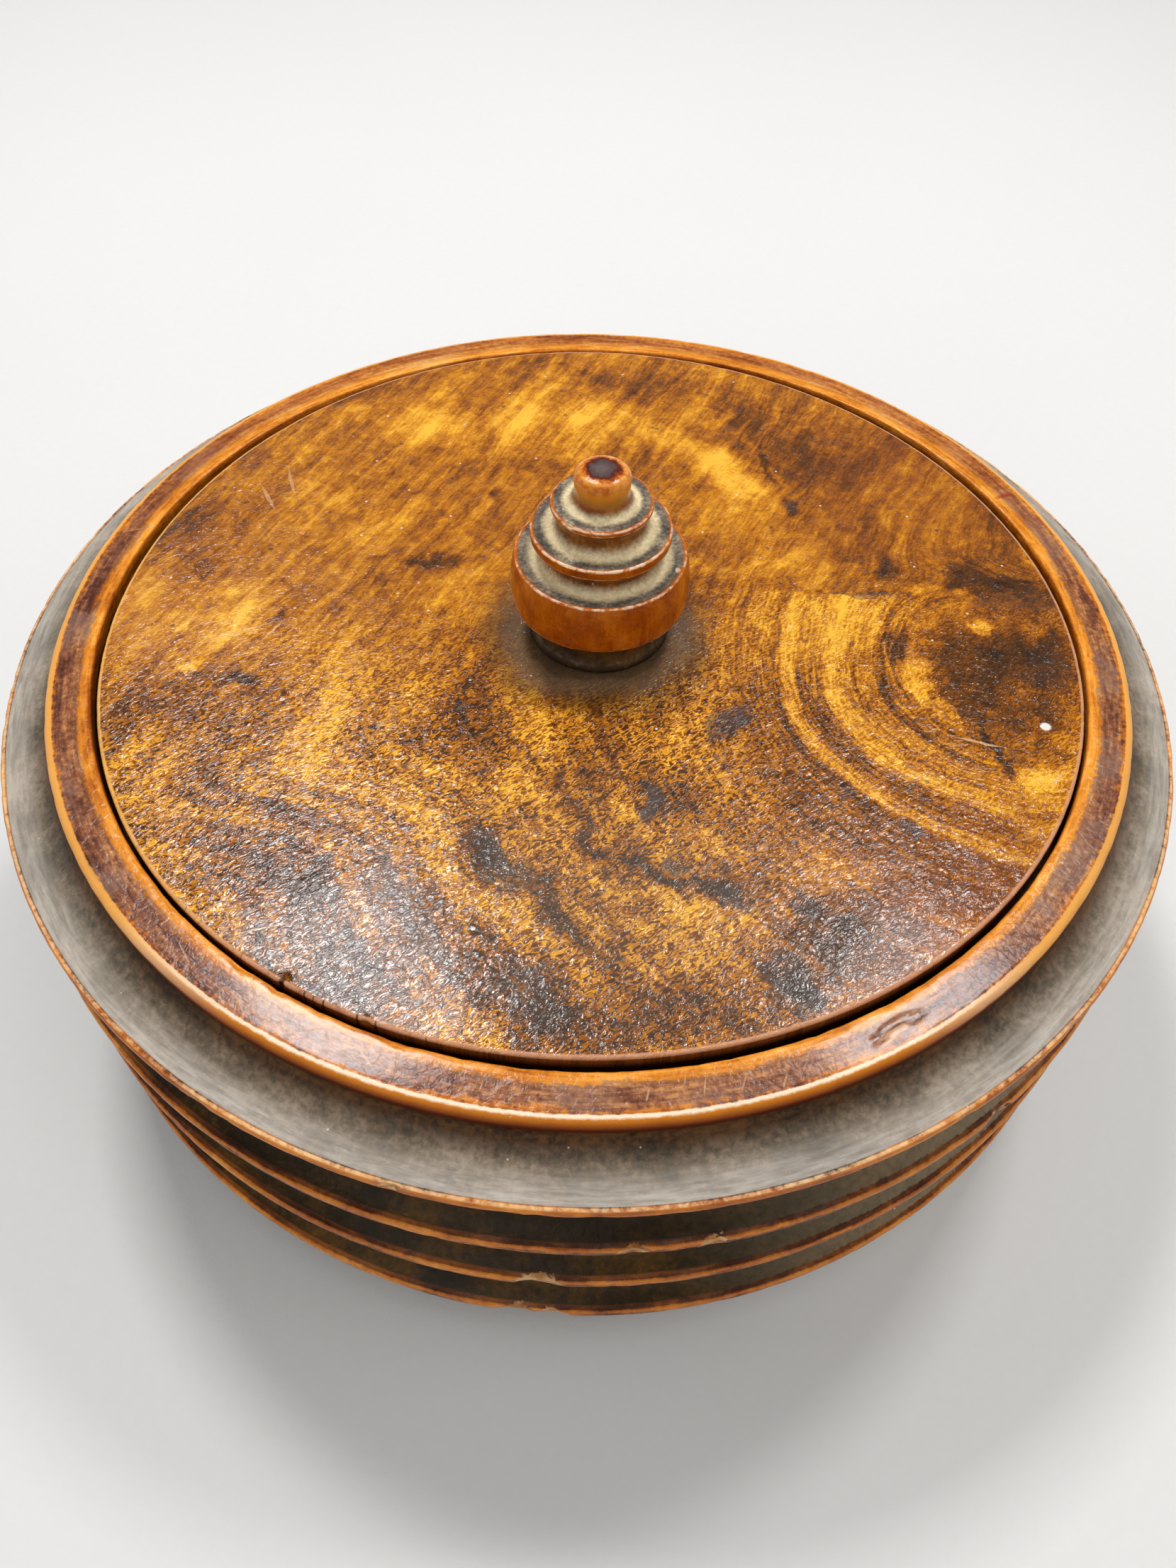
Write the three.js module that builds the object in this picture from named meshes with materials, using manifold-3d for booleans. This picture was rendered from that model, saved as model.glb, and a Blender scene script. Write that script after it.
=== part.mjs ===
// Turned wooden tobacco box: a ribbed box with a rebated rim, a drop-in lid with a stepped finial,
// and a loose press that keeps the tobacco down. Millimetres, +Z up, the table at z = 0 and the
// front towards -Y. Every piece is a turning, so each one is an outline spun round its own axis.
import * as THREE from 'three';
import { mergeVertices } from 'three/addons/utils/BufferGeometryUtils.js';
import Module from 'manifold-3d';

const wasm = await Module();
wasm.setup();
const { Manifold, Mesh: SolidMesh } = wasm;

// Fits
const seatGap = 0.3;            // under a piece that rests on another
const spigotGap = 0.3;          // glue line round a spigot
const lidClearance = 0.84;      // mean gap between lid and rim, on the radius
const pressClearance = 1.0;     // press edge to bore, on the radius
const pressHeadroom = 0.7;      // left between the raised press and the closed lid

// Box
const boxHeight = 53;           // table to the top of the rim
const ribRadius = 75.2;
const ribLand = 1.5;            // height of a rib's face
const ribEase = 0.45;           // softened corners of ribs and flange
const ribDrops = [41.1, 29.0, 17.5]; // from the rim's top to each rib's lower edge, lowest first
const coveDepth = 3.2;          // of the hollows between the ribs
const flangeRadius = 75.0;
const flangeDrop = 6.4;         // rim's top to the flange's lower edge
const flangeLand = 1.3;
const rimOuterRadius = 68.4;
const rimInnerRadius = 62.9;
const rimEdge = 1.0;            // rounding of the rim's outer edge
const rimInnerEdge = 0.7;
const rimSide = 1.9;            // rim's top to where the shoulder's hollow starts
const seatWidth = 2.5;          // shoulder that carries the lid
const floorThickness = 6.4;
const floorFillet = 3;
const footRadius = 71.0;
const footHeight = 2.6;
const footRecess = 1.6;         // hollow turned in the underside
const footRing = 8.6;           // width of the ring it stands on

// Lid
const lidThickness = 6.5;
const lidEdge = 0.8;            // rounding of the lid's upper edge
const lidChamfer = 0.5;
const lidDish = 1.0;            // hollow turned in the lid's underside
const lidDishRadius = 50;
const lidLobe = 0.42;           // the lid has moved out of round into three low lobes
const lidLobeAngle = 220;       // direction of one lobe, degrees from +X
const finialPlace = [0.66, -1.02]; // the spigot hole was bored this far off the lid's middle

// Finial: [radius, height over the lid] of the edge of each tier, from the bulb up
const bulbEdge = [10.6, 12.25];
const middleEdge = [8.55, 16.25];
const upperEdge = [6.1, 19.85];
const middleLip = 1.3;          // height of the tier's worn edge
const upperLip = 0.7;
const middleNeck = 8.3;         // radius at which the tier's hollow runs out on the ledge below
const upperNeck = 6.4;
const middleUndercut = 0.95;    // depth of that hollow
const upperUndercut = 0.8;
const finialFootRadius = 9.0;
const finialFootHeight = 1.0;
const finialWaist = 1.0;        // how far the neck is hollowed
const bulbUnder = [11.0, 5.9];
const bulbSwell = 0.32;         // how far the bulb's side bows out
const capRadius = 3.35;
const capHeight = 24.2;
const capEdge = 0.85;
const finialSpigot = 3.7;
const spigotDepth = 4.6;

// Press
const pressThickness = 6;
const pressEdge = 1.2;
const pressKnobRadius = 6.5;
const pressKnobFoot = 0.6;      // height of the stem's foot
const pressKnobStem = 5.2;      // stem's radius under the ball
const pressKnobWaist = 1.3;     // how far the stem is hollowed
const pressKnobTop = 3.6;       // radius of the flat on top of the ball
const pressKnobSwell = 3.1;     // how far the ball bows out
const pressKnobMiddle = 5.5;    // height of the ball's lower edge
const pressKnobHeight = 11;
const pressSpigot = 3.2;
const pressSpigotDepth = 4;

// Facets
const boxSides = 64;
const finialSides = 32;
const knobSides = 24;

// Worked out from the above
const lidRadius = rimInnerRadius - lidClearance;
const boreRadius = rimInnerRadius - seatWidth;
const seatHeight = boxHeight - lidThickness - seatGap;
const floorHeight = footRecess + floorThickness;
const pressRadius = boreRadius - pressClearance;
const pressBase = floorHeight + seatGap;

// Pen that draws an outline in radius and height. A bow with a positive rise curves to the left of
// its direction, so on the outside of a piece drawn upwards it is a hollow.
function pen(radius, height) {
  const points = [new THREE.Vector2(radius, height)];
  const self = {
    points,
    to(r, z) {
      points.push(new THREE.Vector2(r, z));
      return self;
    },
    bow(r, z, rise, steps) {
      const start = points[points.length - 1].clone();
      const end = new THREE.Vector2(r, z);
      const along = end.clone().sub(start);
      const half = along.length() / 2;
      along.normalize();
      const side = new THREE.Vector2(-along.y, along.x).multiplyScalar(Math.sign(rise));
      const sweep = 2 * Math.atan2(Math.abs(rise), half);
      const curve = half / Math.sin(sweep);
      const centre = start.clone().addScaledVector(along, half).addScaledVector(side, Math.abs(rise) - curve);
      for (let k = 1; k < steps; k++) {
        const a = sweep * (2 * k / steps - 1);
        points.push(centre.clone()
          .addScaledVector(side, curve * Math.cos(a))
          .addScaledVector(along, curve * Math.sin(a)));
      }
      return self.to(r, z);
    },
    // a quarter round to (r, z): out is 1 where it swells away from the wood, -1 where it is a fillet
    quarter(r, z, out, steps) {
      const chord = points[points.length - 1].distanceTo(new THREE.Vector2(r, z));
      return self.bow(r, z, -out * chord * (Math.SQRT2 - 1) / 2, steps);
    },
    // a quarter ellipse that leaves level and arrives upright
    scoop(r, z, steps) {
      const start = points[points.length - 1].clone();
      for (let k = 1; k < steps; k++) {
        const a = Math.PI / 2 * k / steps;
        self.to(start.x - (start.x - r) * Math.sin(a), z - (z - start.y) * Math.cos(a));
      }
      return self.to(r, z);
    },
  };
  return self;
}

// Spins an outline, drawn from the axis below, outwards and back to the axis above, round +Z.
function spin(outline, sides) {
  return new THREE.LatheGeometry(outline.points, sides).rotateX(Math.PI / 2);
}

function piece(name, geometry, look) {
  const mesh = new THREE.Mesh(geometry, new THREE.MeshStandardMaterial({ metalness: 0, ...look }));
  mesh.name = name;
  return mesh;
}

// Bores a round hole, upright, from the given height upwards.
function bore(geometry, radius, [x, y], bottom, top) {
  const shell = new THREE.BufferGeometry().setAttribute('position', geometry.getAttribute('position'));
  const welded = mergeVertices(shell.setIndex(geometry.index), 1e-4);
  const solid = new Manifold(new SolidMesh({
    numProp: 3,
    vertProperties: welded.attributes.position.array,
    triVerts: new Uint32Array(welded.index.array),
  }));
  const drill = Manifold.cylinder(top - bottom, radius, radius, finialSides).translate([x, y, bottom]);
  const { vertProperties, triVerts } = solid.subtract(drill).getMesh();
  return new THREE.BufferGeometry()
    .setAttribute('position', new THREE.BufferAttribute(vertProperties, 3))
    .setIndex(new THREE.BufferAttribute(triVerts, 1));
}

// Box: foot, three ribs with hollows between them, flange, shoulder hollow, rim, rebate and bore.
function boxOutline() {
  const p = pen(0, footRecess);
  p.to(footRadius - footRing - footRecess, footRecess);
  p.to(footRadius - footRing, 0);
  p.to(footRadius - ribEase, 0);
  p.quarter(footRadius, ribEase, 1, 1);
  p.to(footRadius, footHeight);

  let hollow = coveDepth / 2;   // the one over the foot is shallower
  for (const drop of ribDrops) {
    const under = boxHeight - drop;
    p.bow(ribRadius - ribEase, under, hollow, 6);
    p.quarter(ribRadius, under + ribEase, 1, 1);
    p.to(ribRadius, under + ribLand - ribEase);
    p.quarter(ribRadius - ribEase, under + ribLand, 1, 1);
    hollow = coveDepth;
  }

  const flangeTop = boxHeight - flangeDrop + flangeLand;
  p.bow(flangeRadius - ribEase, flangeTop - flangeLand, hollow, 6);
  p.quarter(flangeRadius, flangeTop - flangeLand + ribEase, 1, 1);
  p.to(flangeRadius, flangeTop - ribEase);
  p.quarter(flangeRadius - ribEase, flangeTop, 1, 1);

  p.scoop(rimOuterRadius, boxHeight - rimSide, 7);
  p.to(rimOuterRadius, boxHeight - rimEdge);
  p.quarter(rimOuterRadius - rimEdge, boxHeight, 1, 2);
  p.to(rimInnerRadius + rimInnerEdge, boxHeight);
  p.quarter(rimInnerRadius, boxHeight - rimInnerEdge, 1, 2);

  p.to(rimInnerRadius, seatHeight);
  p.to(boreRadius + ribEase, seatHeight);
  p.to(boreRadius, seatHeight - ribEase);
  p.to(boreRadius, floorHeight + floorFillet);
  p.quarter(boreRadius - floorFillet, floorHeight, -1, 4);
  return p.to(0, floorHeight);
}

// Lid disc, drawn from its own underside at height 0.
function lidOutline() {
  const p = pen(0, lidDish);
  p.to(lidDishRadius - lidDish, lidDish).to(lidDishRadius, 0);
  p.to(lidRadius - lidChamfer, 0).to(lidRadius, lidChamfer);
  p.to(lidRadius, lidThickness - lidEdge);
  p.quarter(lidRadius - lidEdge, lidThickness, 1, 3);
  return p.to(0, lidThickness);
}

// The disc pushed out into its lobes, then bored for the finial's spigot.
function lidGeometry() {
  const disc = spin(lidOutline(), boxSides);
  const place = disc.getAttribute('position');
  const turnOf = THREE.MathUtils.degToRad(lidLobeAngle);
  for (let i = 0; i < place.count; i++) {
    const [x, y] = [place.getX(i), place.getY(i)];
    const reach = Math.hypot(x, y) / lidRadius;
    const grow = 1 + reach ** 2 * lidLobe / lidRadius * Math.cos(3 * (Math.atan2(y, x) - turnOf));
    place.setXY(i, x * grow, y * grow);
  }
  const holeFloor = lidThickness - spigotDepth - spigotGap;
  return bore(disc, finialSpigot + spigotGap, finialPlace, holeFloor, lidThickness + 1);
}

// Finial, drawn from the lid's upper face at height 0: spigot, hollow neck, bulb and two smaller
// tiers, each with a worn lip over an undercut hollow that runs out on the ledge below, then the cap.
function finialOutline() {
  const p = pen(0, -spigotDepth);
  p.to(finialSpigot - lidChamfer, -spigotDepth).to(finialSpigot, lidChamfer - spigotDepth);
  p.to(finialSpigot, seatGap).to(finialFootRadius, seatGap);
  p.to(finialFootRadius - 0.2, finialFootHeight);
  p.bow(finialFootRadius + 0.5, bulbUnder[1] - 0.7, finialWaist, 5);
  p.to(bulbUnder[0] - 0.3, bulbUnder[1] - 0.2).to(...bulbUnder);
  p.bow(bulbEdge[0], bulbEdge[1] - 0.35, -bulbSwell, 6);
  p.quarter(bulbEdge[0] - 0.4, bulbEdge[1], 1, 2);

  const tiers = [
    { edge: middleEdge, lip: middleLip, neck: middleNeck, undercut: middleUndercut },
    { edge: upperEdge, lip: upperLip, neck: upperNeck, undercut: upperUndercut },
  ];
  for (const { edge: [radius, height], lip, neck, undercut } of tiers) {
    const ledge = p.points[p.points.length - 1].y - 0.1;
    p.to(neck, ledge);
    p.bow(radius - 0.3, height - lip - 0.1, undercut, 6);
    p.quarter(radius, height - lip + 0.2, 1, 1);
    p.to(radius, height - 0.3);
    p.quarter(radius - 0.3, height, 1, 2);
  }

  p.to(capRadius + 0.9, upperEdge[1] + 0.05);
  p.bow(capRadius - 0.1, upperEdge[1] + 1.6, 0.3, 4);
  p.to(capRadius, capHeight - capEdge - 0.5);
  p.quarter(capRadius - capEdge, capHeight - 0.1, 1, 3);
  return p.to(capRadius - capEdge - 0.6, capHeight).to(0, capHeight);
}

// Press disc, drawn from its underside, with a blind hole for its knob.
function pressOutline() {
  const holeRadius = pressSpigot + spigotGap;
  const p = pen(0, 0).to(pressRadius - floorFillet, 0);
  p.quarter(pressRadius, floorFillet, 1, 3);
  p.to(pressRadius, pressThickness - pressEdge);
  p.quarter(pressRadius - pressEdge, pressThickness, 1, 2);
  p.to(holeRadius, pressThickness);
  const holeFloor = pressThickness - pressSpigotDepth - spigotGap;
  return p.to(holeRadius, holeFloor).to(0, holeFloor);
}

// Press knob, drawn from the press's upper face: spigot, waisted stem and a flattened ball.
function pressKnobOutline() {
  const p = pen(0, -pressSpigotDepth);
  p.to(pressSpigot, -pressSpigotDepth).to(pressSpigot, seatGap);
  p.to(pressKnobRadius, seatGap).to(pressKnobRadius, seatGap + pressKnobFoot);
  p.bow(pressKnobStem, pressKnobMiddle, pressKnobWaist, 4);
  p.bow(pressKnobTop, pressKnobHeight, -pressKnobSwell, 7);
  return p.to(0, pressKnobHeight);
}

const box = new THREE.Group();
box.name = 'tobacco_box';
box.add(piece('box_body', spin(boxOutline(), boxSides), { color: 0x5b3a1c, roughness: 0.42 }));

const lid = new THREE.Group();
lid.name = 'lid';
lid.position.z = boxHeight;
const disc = piece('lid_disc', lidGeometry(), { color: 0x9a6324, roughness: 0.4 });
disc.position.z = -lidThickness;
const finial = piece('finial', spin(finialOutline(), finialSides), { color: 0x8a4a17, roughness: 0.34 });
finial.position.set(...finialPlace, 0);
lid.add(disc, finial);

// The press rests on the floor; it rises until its knob has pressHeadroom under the closed lid.
const press = new THREE.Group();
press.name = 'press';
press.position.z = pressBase;
const plate = piece('tobacco_press', spin(pressOutline(), boxSides), { color: 0x6e4420, roughness: 0.5 });
const knob = piece('press_knob', spin(pressKnobOutline(), knobSides), { color: 0x7a461c, roughness: 0.42 });
knob.position.z = pressThickness;
press.add(plate, knob);
press.userData.travel = boxHeight - lidThickness + lidDish - pressHeadroom
  - (pressBase + pressThickness + pressKnobHeight);

box.add(lid, press);
export default box;
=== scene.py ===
"""Looks for a turned wooden tobacco box: ribbed box, drop-in lid with a stepped finial, loose press.

Every piece is a turning. Its outline is drawn in millimetres of radius and height over the table and
spun by the lathe node tree; knocks and chips are pressed in afterwards, and each wood has its finish.
"""
import math
from functools import reduce
from types import SimpleNamespace

import bpy
import numpy as np
from mathutils import Matrix, Vector


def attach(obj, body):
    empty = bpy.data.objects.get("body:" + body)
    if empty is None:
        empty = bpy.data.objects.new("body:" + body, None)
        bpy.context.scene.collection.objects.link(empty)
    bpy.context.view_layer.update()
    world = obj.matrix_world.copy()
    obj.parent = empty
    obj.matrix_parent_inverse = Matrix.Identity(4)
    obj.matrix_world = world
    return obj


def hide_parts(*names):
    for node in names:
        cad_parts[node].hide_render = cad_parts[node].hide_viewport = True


MM = 0.001
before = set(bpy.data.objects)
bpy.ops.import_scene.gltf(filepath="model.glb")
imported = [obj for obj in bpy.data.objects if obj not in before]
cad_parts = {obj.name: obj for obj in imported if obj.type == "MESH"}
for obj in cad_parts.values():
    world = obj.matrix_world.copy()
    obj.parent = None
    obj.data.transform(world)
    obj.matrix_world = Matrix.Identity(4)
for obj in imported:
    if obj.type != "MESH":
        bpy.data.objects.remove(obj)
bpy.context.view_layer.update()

# Sizes of box, lid and press, in mm; a drop is measured down from the rim's top
BOX_HEIGHT = 53.0
RIB_RADIUS = 75.2
RIB_LAND = 1.5
RIB_EASE = 0.45
RIB_DROPS = (41.1, 29.0, 17.5)
COVE_DEPTH = 3.2
FLANGE_RADIUS = 75.0
FLANGE_DROP = 6.4
FLANGE_LAND = 1.3
RIM_OUTER = 68.4
RIM_INNER = 62.9
RIM_EDGE = 1.0
RIM_INNER_EDGE = 0.3
RIM_SIDE = 1.9
SEAT_WIDTH = 2.5
LID_THICKNESS = 6.5
LID_CLEARANCE = 0.84
LID_EDGE = 0.4
LID_DISH = 1.0
LID_DISH_RADIUS = 50.0
LID_LOBE = 0.42
LID_LOBE_BEARING = 220.0
LOBES = 3.0
SEAT_GAP = 0.3
FLOOR_HEIGHT = 8.0
FLOOR_FILLET = 3.0
FOOT_RADIUS = 71.0
FOOT_HEIGHT = 2.6
FOOT_RECESS = 1.6
FOOT_RING = 8.6
PRESS_THICKNESS = 6.0
PRESS_EDGE = 1.2
PRESS_CLEARANCE = 1.0

FLANGE_TOP = BOX_HEIGHT - FLANGE_DROP + FLANGE_LAND
LID_RADIUS = RIM_INNER - LID_CLEARANCE
LID_BASE = BOX_HEIGHT - LID_THICKNESS
BORE_RADIUS = RIM_INNER - SEAT_WIDTH
SEAT_HEIGHT = BOX_HEIGHT - LID_THICKNESS - SEAT_GAP
PRESS_RADIUS = BORE_RADIUS - PRESS_CLEARANCE
PRESS_BASE = FLOOR_HEIGHT + SEAT_GAP
PRESS_TOP = PRESS_BASE + PRESS_THICKNESS

# Finial and press knob, in mm, with heights over the wood that they stand on
GLUE_LINE = 0.3
FINIAL_PLACE = (0.66, -1.02)
FINIAL_FOOT_RADIUS = 9.0
FINIAL_FOOT_HEIGHT = 1.0
FINIAL_WAIST = 1.0
BULB_UNDER = (11.0, 5.9)
BULB_EDGE = (10.6, 12.25)
BULB_SWELL = 0.32
# each tier's radius and height, the thickness of its lip, the radius of its neck and its undercut
FINIAL_TIERS = ((8.55, 16.25, 1.3, 8.3, 0.95), (6.1, 19.85, 0.7, 6.4, 0.8))
TIER_EDGE = 0.3
CAP_FOOT = (3.25, 21.45)
CAP_SHOULDER = (3.35, 22.85)
CAP_EDGE = 0.85
CAP_HEIGHT = 24.2
PRESS_KNOB_RADIUS = 6.5
PRESS_KNOB_FOOT = 0.6
PRESS_KNOB_STEM = (5.2, 5.5)
PRESS_KNOB_WAIST = 1.3
PRESS_KNOB_TOP = (3.6, 11.0)
PRESS_KNOB_SWELL = 3.1

# Dents and chips: bearing in degrees, radius, rise over the rim's top, how far each reaches round and
# across, depth, and how much bare wood it shows
BOX_CHIPS = (
    (267.6, 75.2, -28.3, 3.3, 1.5, 0.4, 1.0), (265.6, 75.2, -40.5, 3.0, 1.5, 0.4, 1.0),
    (268.6, 75.2, -40.5, 2.6, 1.3, 0.35, 1.0), (275.3, 75.2, -16.6, 1.7, 1.2, 0.4, 1.0),
    (281.6, 75.2, -16.6, 1.8, 1.1, 0.35, 0.9), (308.9, 75.2, -16.6, 2.4, 1.2, 0.7, 0.35),
    (40.0, 75.2, -28.3, 3.5, 1.3, 0.6, 0.9), (148.0, 75.2, -40.2, 4.5, 1.3, 0.6, 0.9),
    (15.0, 75.2, -16.6, 1.8, 1.0, 0.5, 0.7), (257.0, 75.0, -5.5, 1.3, 0.8, 0.4, 0.7),
    (188.0, 75.0, -5.7, 1.5, 0.7, 0.4, 0.5), (315.0, 75.0, -5.6, 2.0, 0.7, 0.35, 0.5),
    (240.0, 75.0, -5.7, 1.4, 0.6, 0.3, 0.5), (97.0, 75.0, -5.6, 2.6, 0.8, 0.5, 0.8))
RIM_SCAR = (
    (301.6, 65.5, 0.0, 1.6, 0.7, 0.1, 0.0), (300.3, 65.0, 0.0, 1.0, 0.5, 0.14, 0.0),
    (298.9, 65.1, 0.0, 1.0, 0.5, 0.12, 0.0), (297.4, 65.7, 0.0, 1.4, 0.6, 0.1, 0.0),
    (206.0, 65.0, 0.0, 0.6, 2.2, 0.12, 0.03))
LID_DENTS = (
    (241.2, LID_RADIUS - 0.3, -0.4, 0.65, 0.8, 0.5, 0.0),
    (250.5, LID_RADIUS - 0.2, -0.4, 0.8, 0.6, 0.2, 0.0))
FINIAL_CHIPS = (
    (232.1, 6.05, 19.7, 0.9, 0.6, 0.35, 1.0), (224.6, 6.05, 19.7, 0.6, 0.4, 0.2, 1.0),
    (22.2, 6.05, 19.7, 0.9, 0.35, 0.15, 0.6), (162.7, 8.5, 16.0, 0.6, 0.4, 0.25, 0.8),
    (342.7, 9.8, 12.25, 0.6, 0.45, 0.12, 1.0), (2.4, 10.5, 12.1, 0.5, 0.35, 0.15, 0.8),
    (165.5, 10.5, 12.1, 0.5, 0.35, 0.15, 0.7), (246.0, 8.4, 16.15, 0.8, 0.25, 0.12, 0.7),
    (60.0, 6.0, 19.7, 0.8, 0.4, 0.2, 0.7), (120.0, 10.5, 12.1, 1.0, 0.5, 0.2, 0.5))

# Marks on lid and rim: x, y, half-length and half-width in mm, and turn in degrees; then the strength,
# which the creases don't have
LID_STAINS = (
    (57, 4, 15, 13, 60, 0.15), (52, 9.5, 15, 3.6, 5, 0.2), (40, 12, 4, 3, 0, 0.35),
    (35, 6.6, 9, 1.3, -3, 0.35), (56, 22, 16, 9, 75, 0.2), (38, 33, 22, 11, 50, 0.24),
    (22, 46, 13, 5, -55, 0.22), (8, 53, 16, 8, 0, 0.2), (-56, 11, 6, 14, 0, 0.24),
    (-44, -14, 9, 2.4, -12, 0.15), (-56, -22, 5, 9, -20, 0.2), (-31, -42, 16, 11, -20, 0.32),
    (-11, -37, 6.5, 3.6, -55, 0.4), (-4, -43.5, 10, 3.4, -46, 0.42), (3, -50, 7, 2.8, -45, 0.3),
    (-3, -25, 6, 1.3, -72, 0.3), (0.5, -33.5, 7, 1.5, -60, 0.38), (7.5, -39.2, 7, 1.5, -25, 0.4),
    (-18, -44, 9, 5, -42, 0.28), (-33, -34, 7, 4, 0, 0.16), (-22, -33.3, 1.0, 0.6, -50, 0.6),
    (-26, -19.4, 0.6, 0.5, 0, 0.7), (-21, -21.8, 3.6, 0.5, 15, 0.4), (2, -36, 26, 18, -45, 0.08),
    (-5, -56, 10, 6, -40, 0.34), (12, -56, 18, 6, 10, 0.3), (-20, -53, 16, 9, 0, 0.36),
    (18, -17, 5, 3.4, 40, 0.4), (10, -28, 6, 7, 10, 0.36), (22, -53, 3.4, 6, 10, 0.34),
    (24, -44, 3, 4, 0, 0.3), (14, -41.5, 6, 1.8, -25, 0.35), (37, -32, 9, 4, -30, 0.24),
    (30, -28, 10, 4, -45, 0.22), (-22, 10, 7, 1.8, 5, 0.34), (-30, 9, 3, 1.5, 0, 0.2),
    (23.3, 2.6, 1.6, 1.4, 0, 0.5), (28.5, 6.0, 2.2, 1.1, 0, 0.4), (27.5, 24, 2.0, 2.6, 20, 0.4),
    (-14, 25, 1.6, 2.6, 0, 0.3), (-15, -20, 10, 9, 50, 0.14), (-40, -2, 2.0, 1.2, 0, 0.3),
    (-43, -14, 2.5, 1.8, 20, 0.3), (8, 29, 5, 3, 60, 0.1), (30, -46, 17, 9, 30, 0.3),
    (0, -25, 9, 6, 0, 0.08), (45, -38, 12, 8, 40, 0.12), (18, -38, 14, 16, 0, 0.07),
    (13.5, 4, 5, 6, 0, 0.13), (-13.5, 5, 4, 6, 0, 0.12), (24.5, 33, 1.2, 8, 8, 0.28),
    (-36, -32, 5, 2, 60, 0.2), (-50, 30, 8, 4, 60, 0.14))
LID_GLOWS = (
    (17, 34, 4.4, 6.4, 38, 0.36), (21, 28, 4, 6, 15, 0.28), (10, 40, 8, 4, -35, 0.28),
    (-12, 46, 5, 18, -22, 0.36), (-26, 40, 10, 8, 0, 0.34), (0, 44, 9, 9, 0, 0.3),
    (-31, -18, 4.5, 17, -6, 0.24), (-46, -4, 9, 6, 35, 0.16), (-22, -14, 7, 8, 0, 0.2),
    (10, -43.4, 7.5, 2.4, -27, 0.44), (2, -42, 8, 2.0, -45, 0.2), (-9, -44.5, 12, 2.4, -44, 0.34),
    (14, -35.5, 6, 2.4, -15, 0.3), (-8, -28, 6, 4, -40, 0.22), (3, -30, 4, 3, -50, 0.16),
    (19, 0, 6, 8, 0, 0.06), (-18, -33, 7, 5, -45, 0.2), (53, -25, 7, 3.2, 25, 0.26),
    (-49, -11.5, 2.6, 1.8, 0, 0.4), (-4, -16, 8, 3.0, 0, 0.2), (-40, 22, 12, 9, 0, 0.12),
    (2, -51, 4, 2, -30, 0.2), (44, 8, 3.4, 1.8, 10, 0.3), (30, 12, 9, 4, 0, 0.14),
    (-36, 6, 5, 3, 30, 0.16), (-24, 4, 7, 5, 20, 0.12), (15, 35, 6, 5, 40, 0.14), (-47, 3, 5, 2, 30, 0.2),
    (34, -12, 4, 7, 20, 0.1), (-46, 0, 22, 28, 0, 0.08))
KNOT_HEART = (
    (56, -5, 8, 9, 0, 0.24), (57, 7, 7, 5, 20, 0.08), (47, -8, 7, 11, 0, 0.3),
    (40, -3.5, 2.2, 4.5, -20, 0.34), (49, -20, 0.9, 8, 4, 0.35), (54, -15, 6, 5, 0, 0.2),
    (41.3, -9.5, 2.0, 6.0, -8, -0.34), (44, -15, 2.4, 4, 40, -0.22), (50.6, 0.8, 1.2, 2.4, -30, -0.3),
    (57, 0.5, 3.2, 2.4, 30, -0.22), (49, 7.2, 2.6, 1.3, 20, -0.2))
LID_BRUISES = (
    (7.6, -29.5, 4.8, 1.3, 66, 0.9), (10.6, -38.0, 1.9, 1.4, -30, 0.75), (15.5, -42.5, 4.5, 1.0, -35, 0.6),
    (22, -53, 3.0, 5.0, 10, 0.5), (24, -43, 2.4, 3.0, 0, 0.4), (17, -17, 4.4, 2.8, 40, 0.6),
    (37, -32.5, 1.3, 1.1, 0, 0.7), (-9, -39, 6, 2.6, -50, 0.5), (-5, -55, 7, 3.6, -45, 0.4),
    (58, -6, 3.5, 6, 0, 0.2), (56, 6, 8, 2.4, 0, 0.2), (36, 6.6, 7, 0.9, -3, 0.45),
    (27.5, 24.5, 1.4, 1.8, 0, 0.4))
LID_SCRATCHES = (
    (47, -18.9, 3.4, 0.28, -14, 1.0), (-41, -4.5, 2.7, 0.22, 60, 0.9), (-44.5, -4.6, 4.6, 0.20, 28, 0.8),
    (-47, 22, 3.6, 0.35, -62, 0.7), (-44.5, 26, 3.8, 0.30, -70, 0.7), (-33, -48.3, 3.4, 0.16, 16, 0.9),
    (-25, -20, 7.0, 0.14, 66, 0.4), (-29.5, -52, 2.6, 0.14, 28, 0.6), (55.5, -24, 2.2, 0.2, 52, 0.8),
    (-5.6, -23, 0.9, 0.3, 75, 0.7), (-21.6, -33.8, 0.7, 0.25, -50, 1.0), (50, -33, 2.6, 0.15, 20, 0.5))
RIM_TICKS = (
    (7.4, -65.1, 0.9, 0.14, 78, 0.9), (11.0, -63.4, 0.8, 0.10, 84, 0.7), (12.9, -64.0, 1.2, 0.12, 84, 0.9),
    (16.7, -63.5, 1.0, 0.12, 76, 0.8), (20.7, -63.1, 1.1, 0.14, 74, 0.9),
    (-20.0, -62.5, 1.6, 0.16, -50, 0.7), (-40.5, -51.5, 2.0, 0.14, -55, 0.7),
    (-52.0, -39.5, 1.6, 0.14, -60, 0.6), (-64.0, 14.0, 1.6, 0.16, 20, 0.6),
    (49.0, 43.0, 1.4, 0.14, 10, 0.6), (32.2, -57.4, 2.2, 0.5, 30, 1.0), (31.2, -58.6, 1.4, 0.3, 40, 0.9))
RIM_CREASES = (
    (30.2, -58.4, 1.9, 0.13, 45), (33.9, -56.0, 2.4, 0.14, 24), (32.2, -56.9, 1.3, 0.1, 38))
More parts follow.
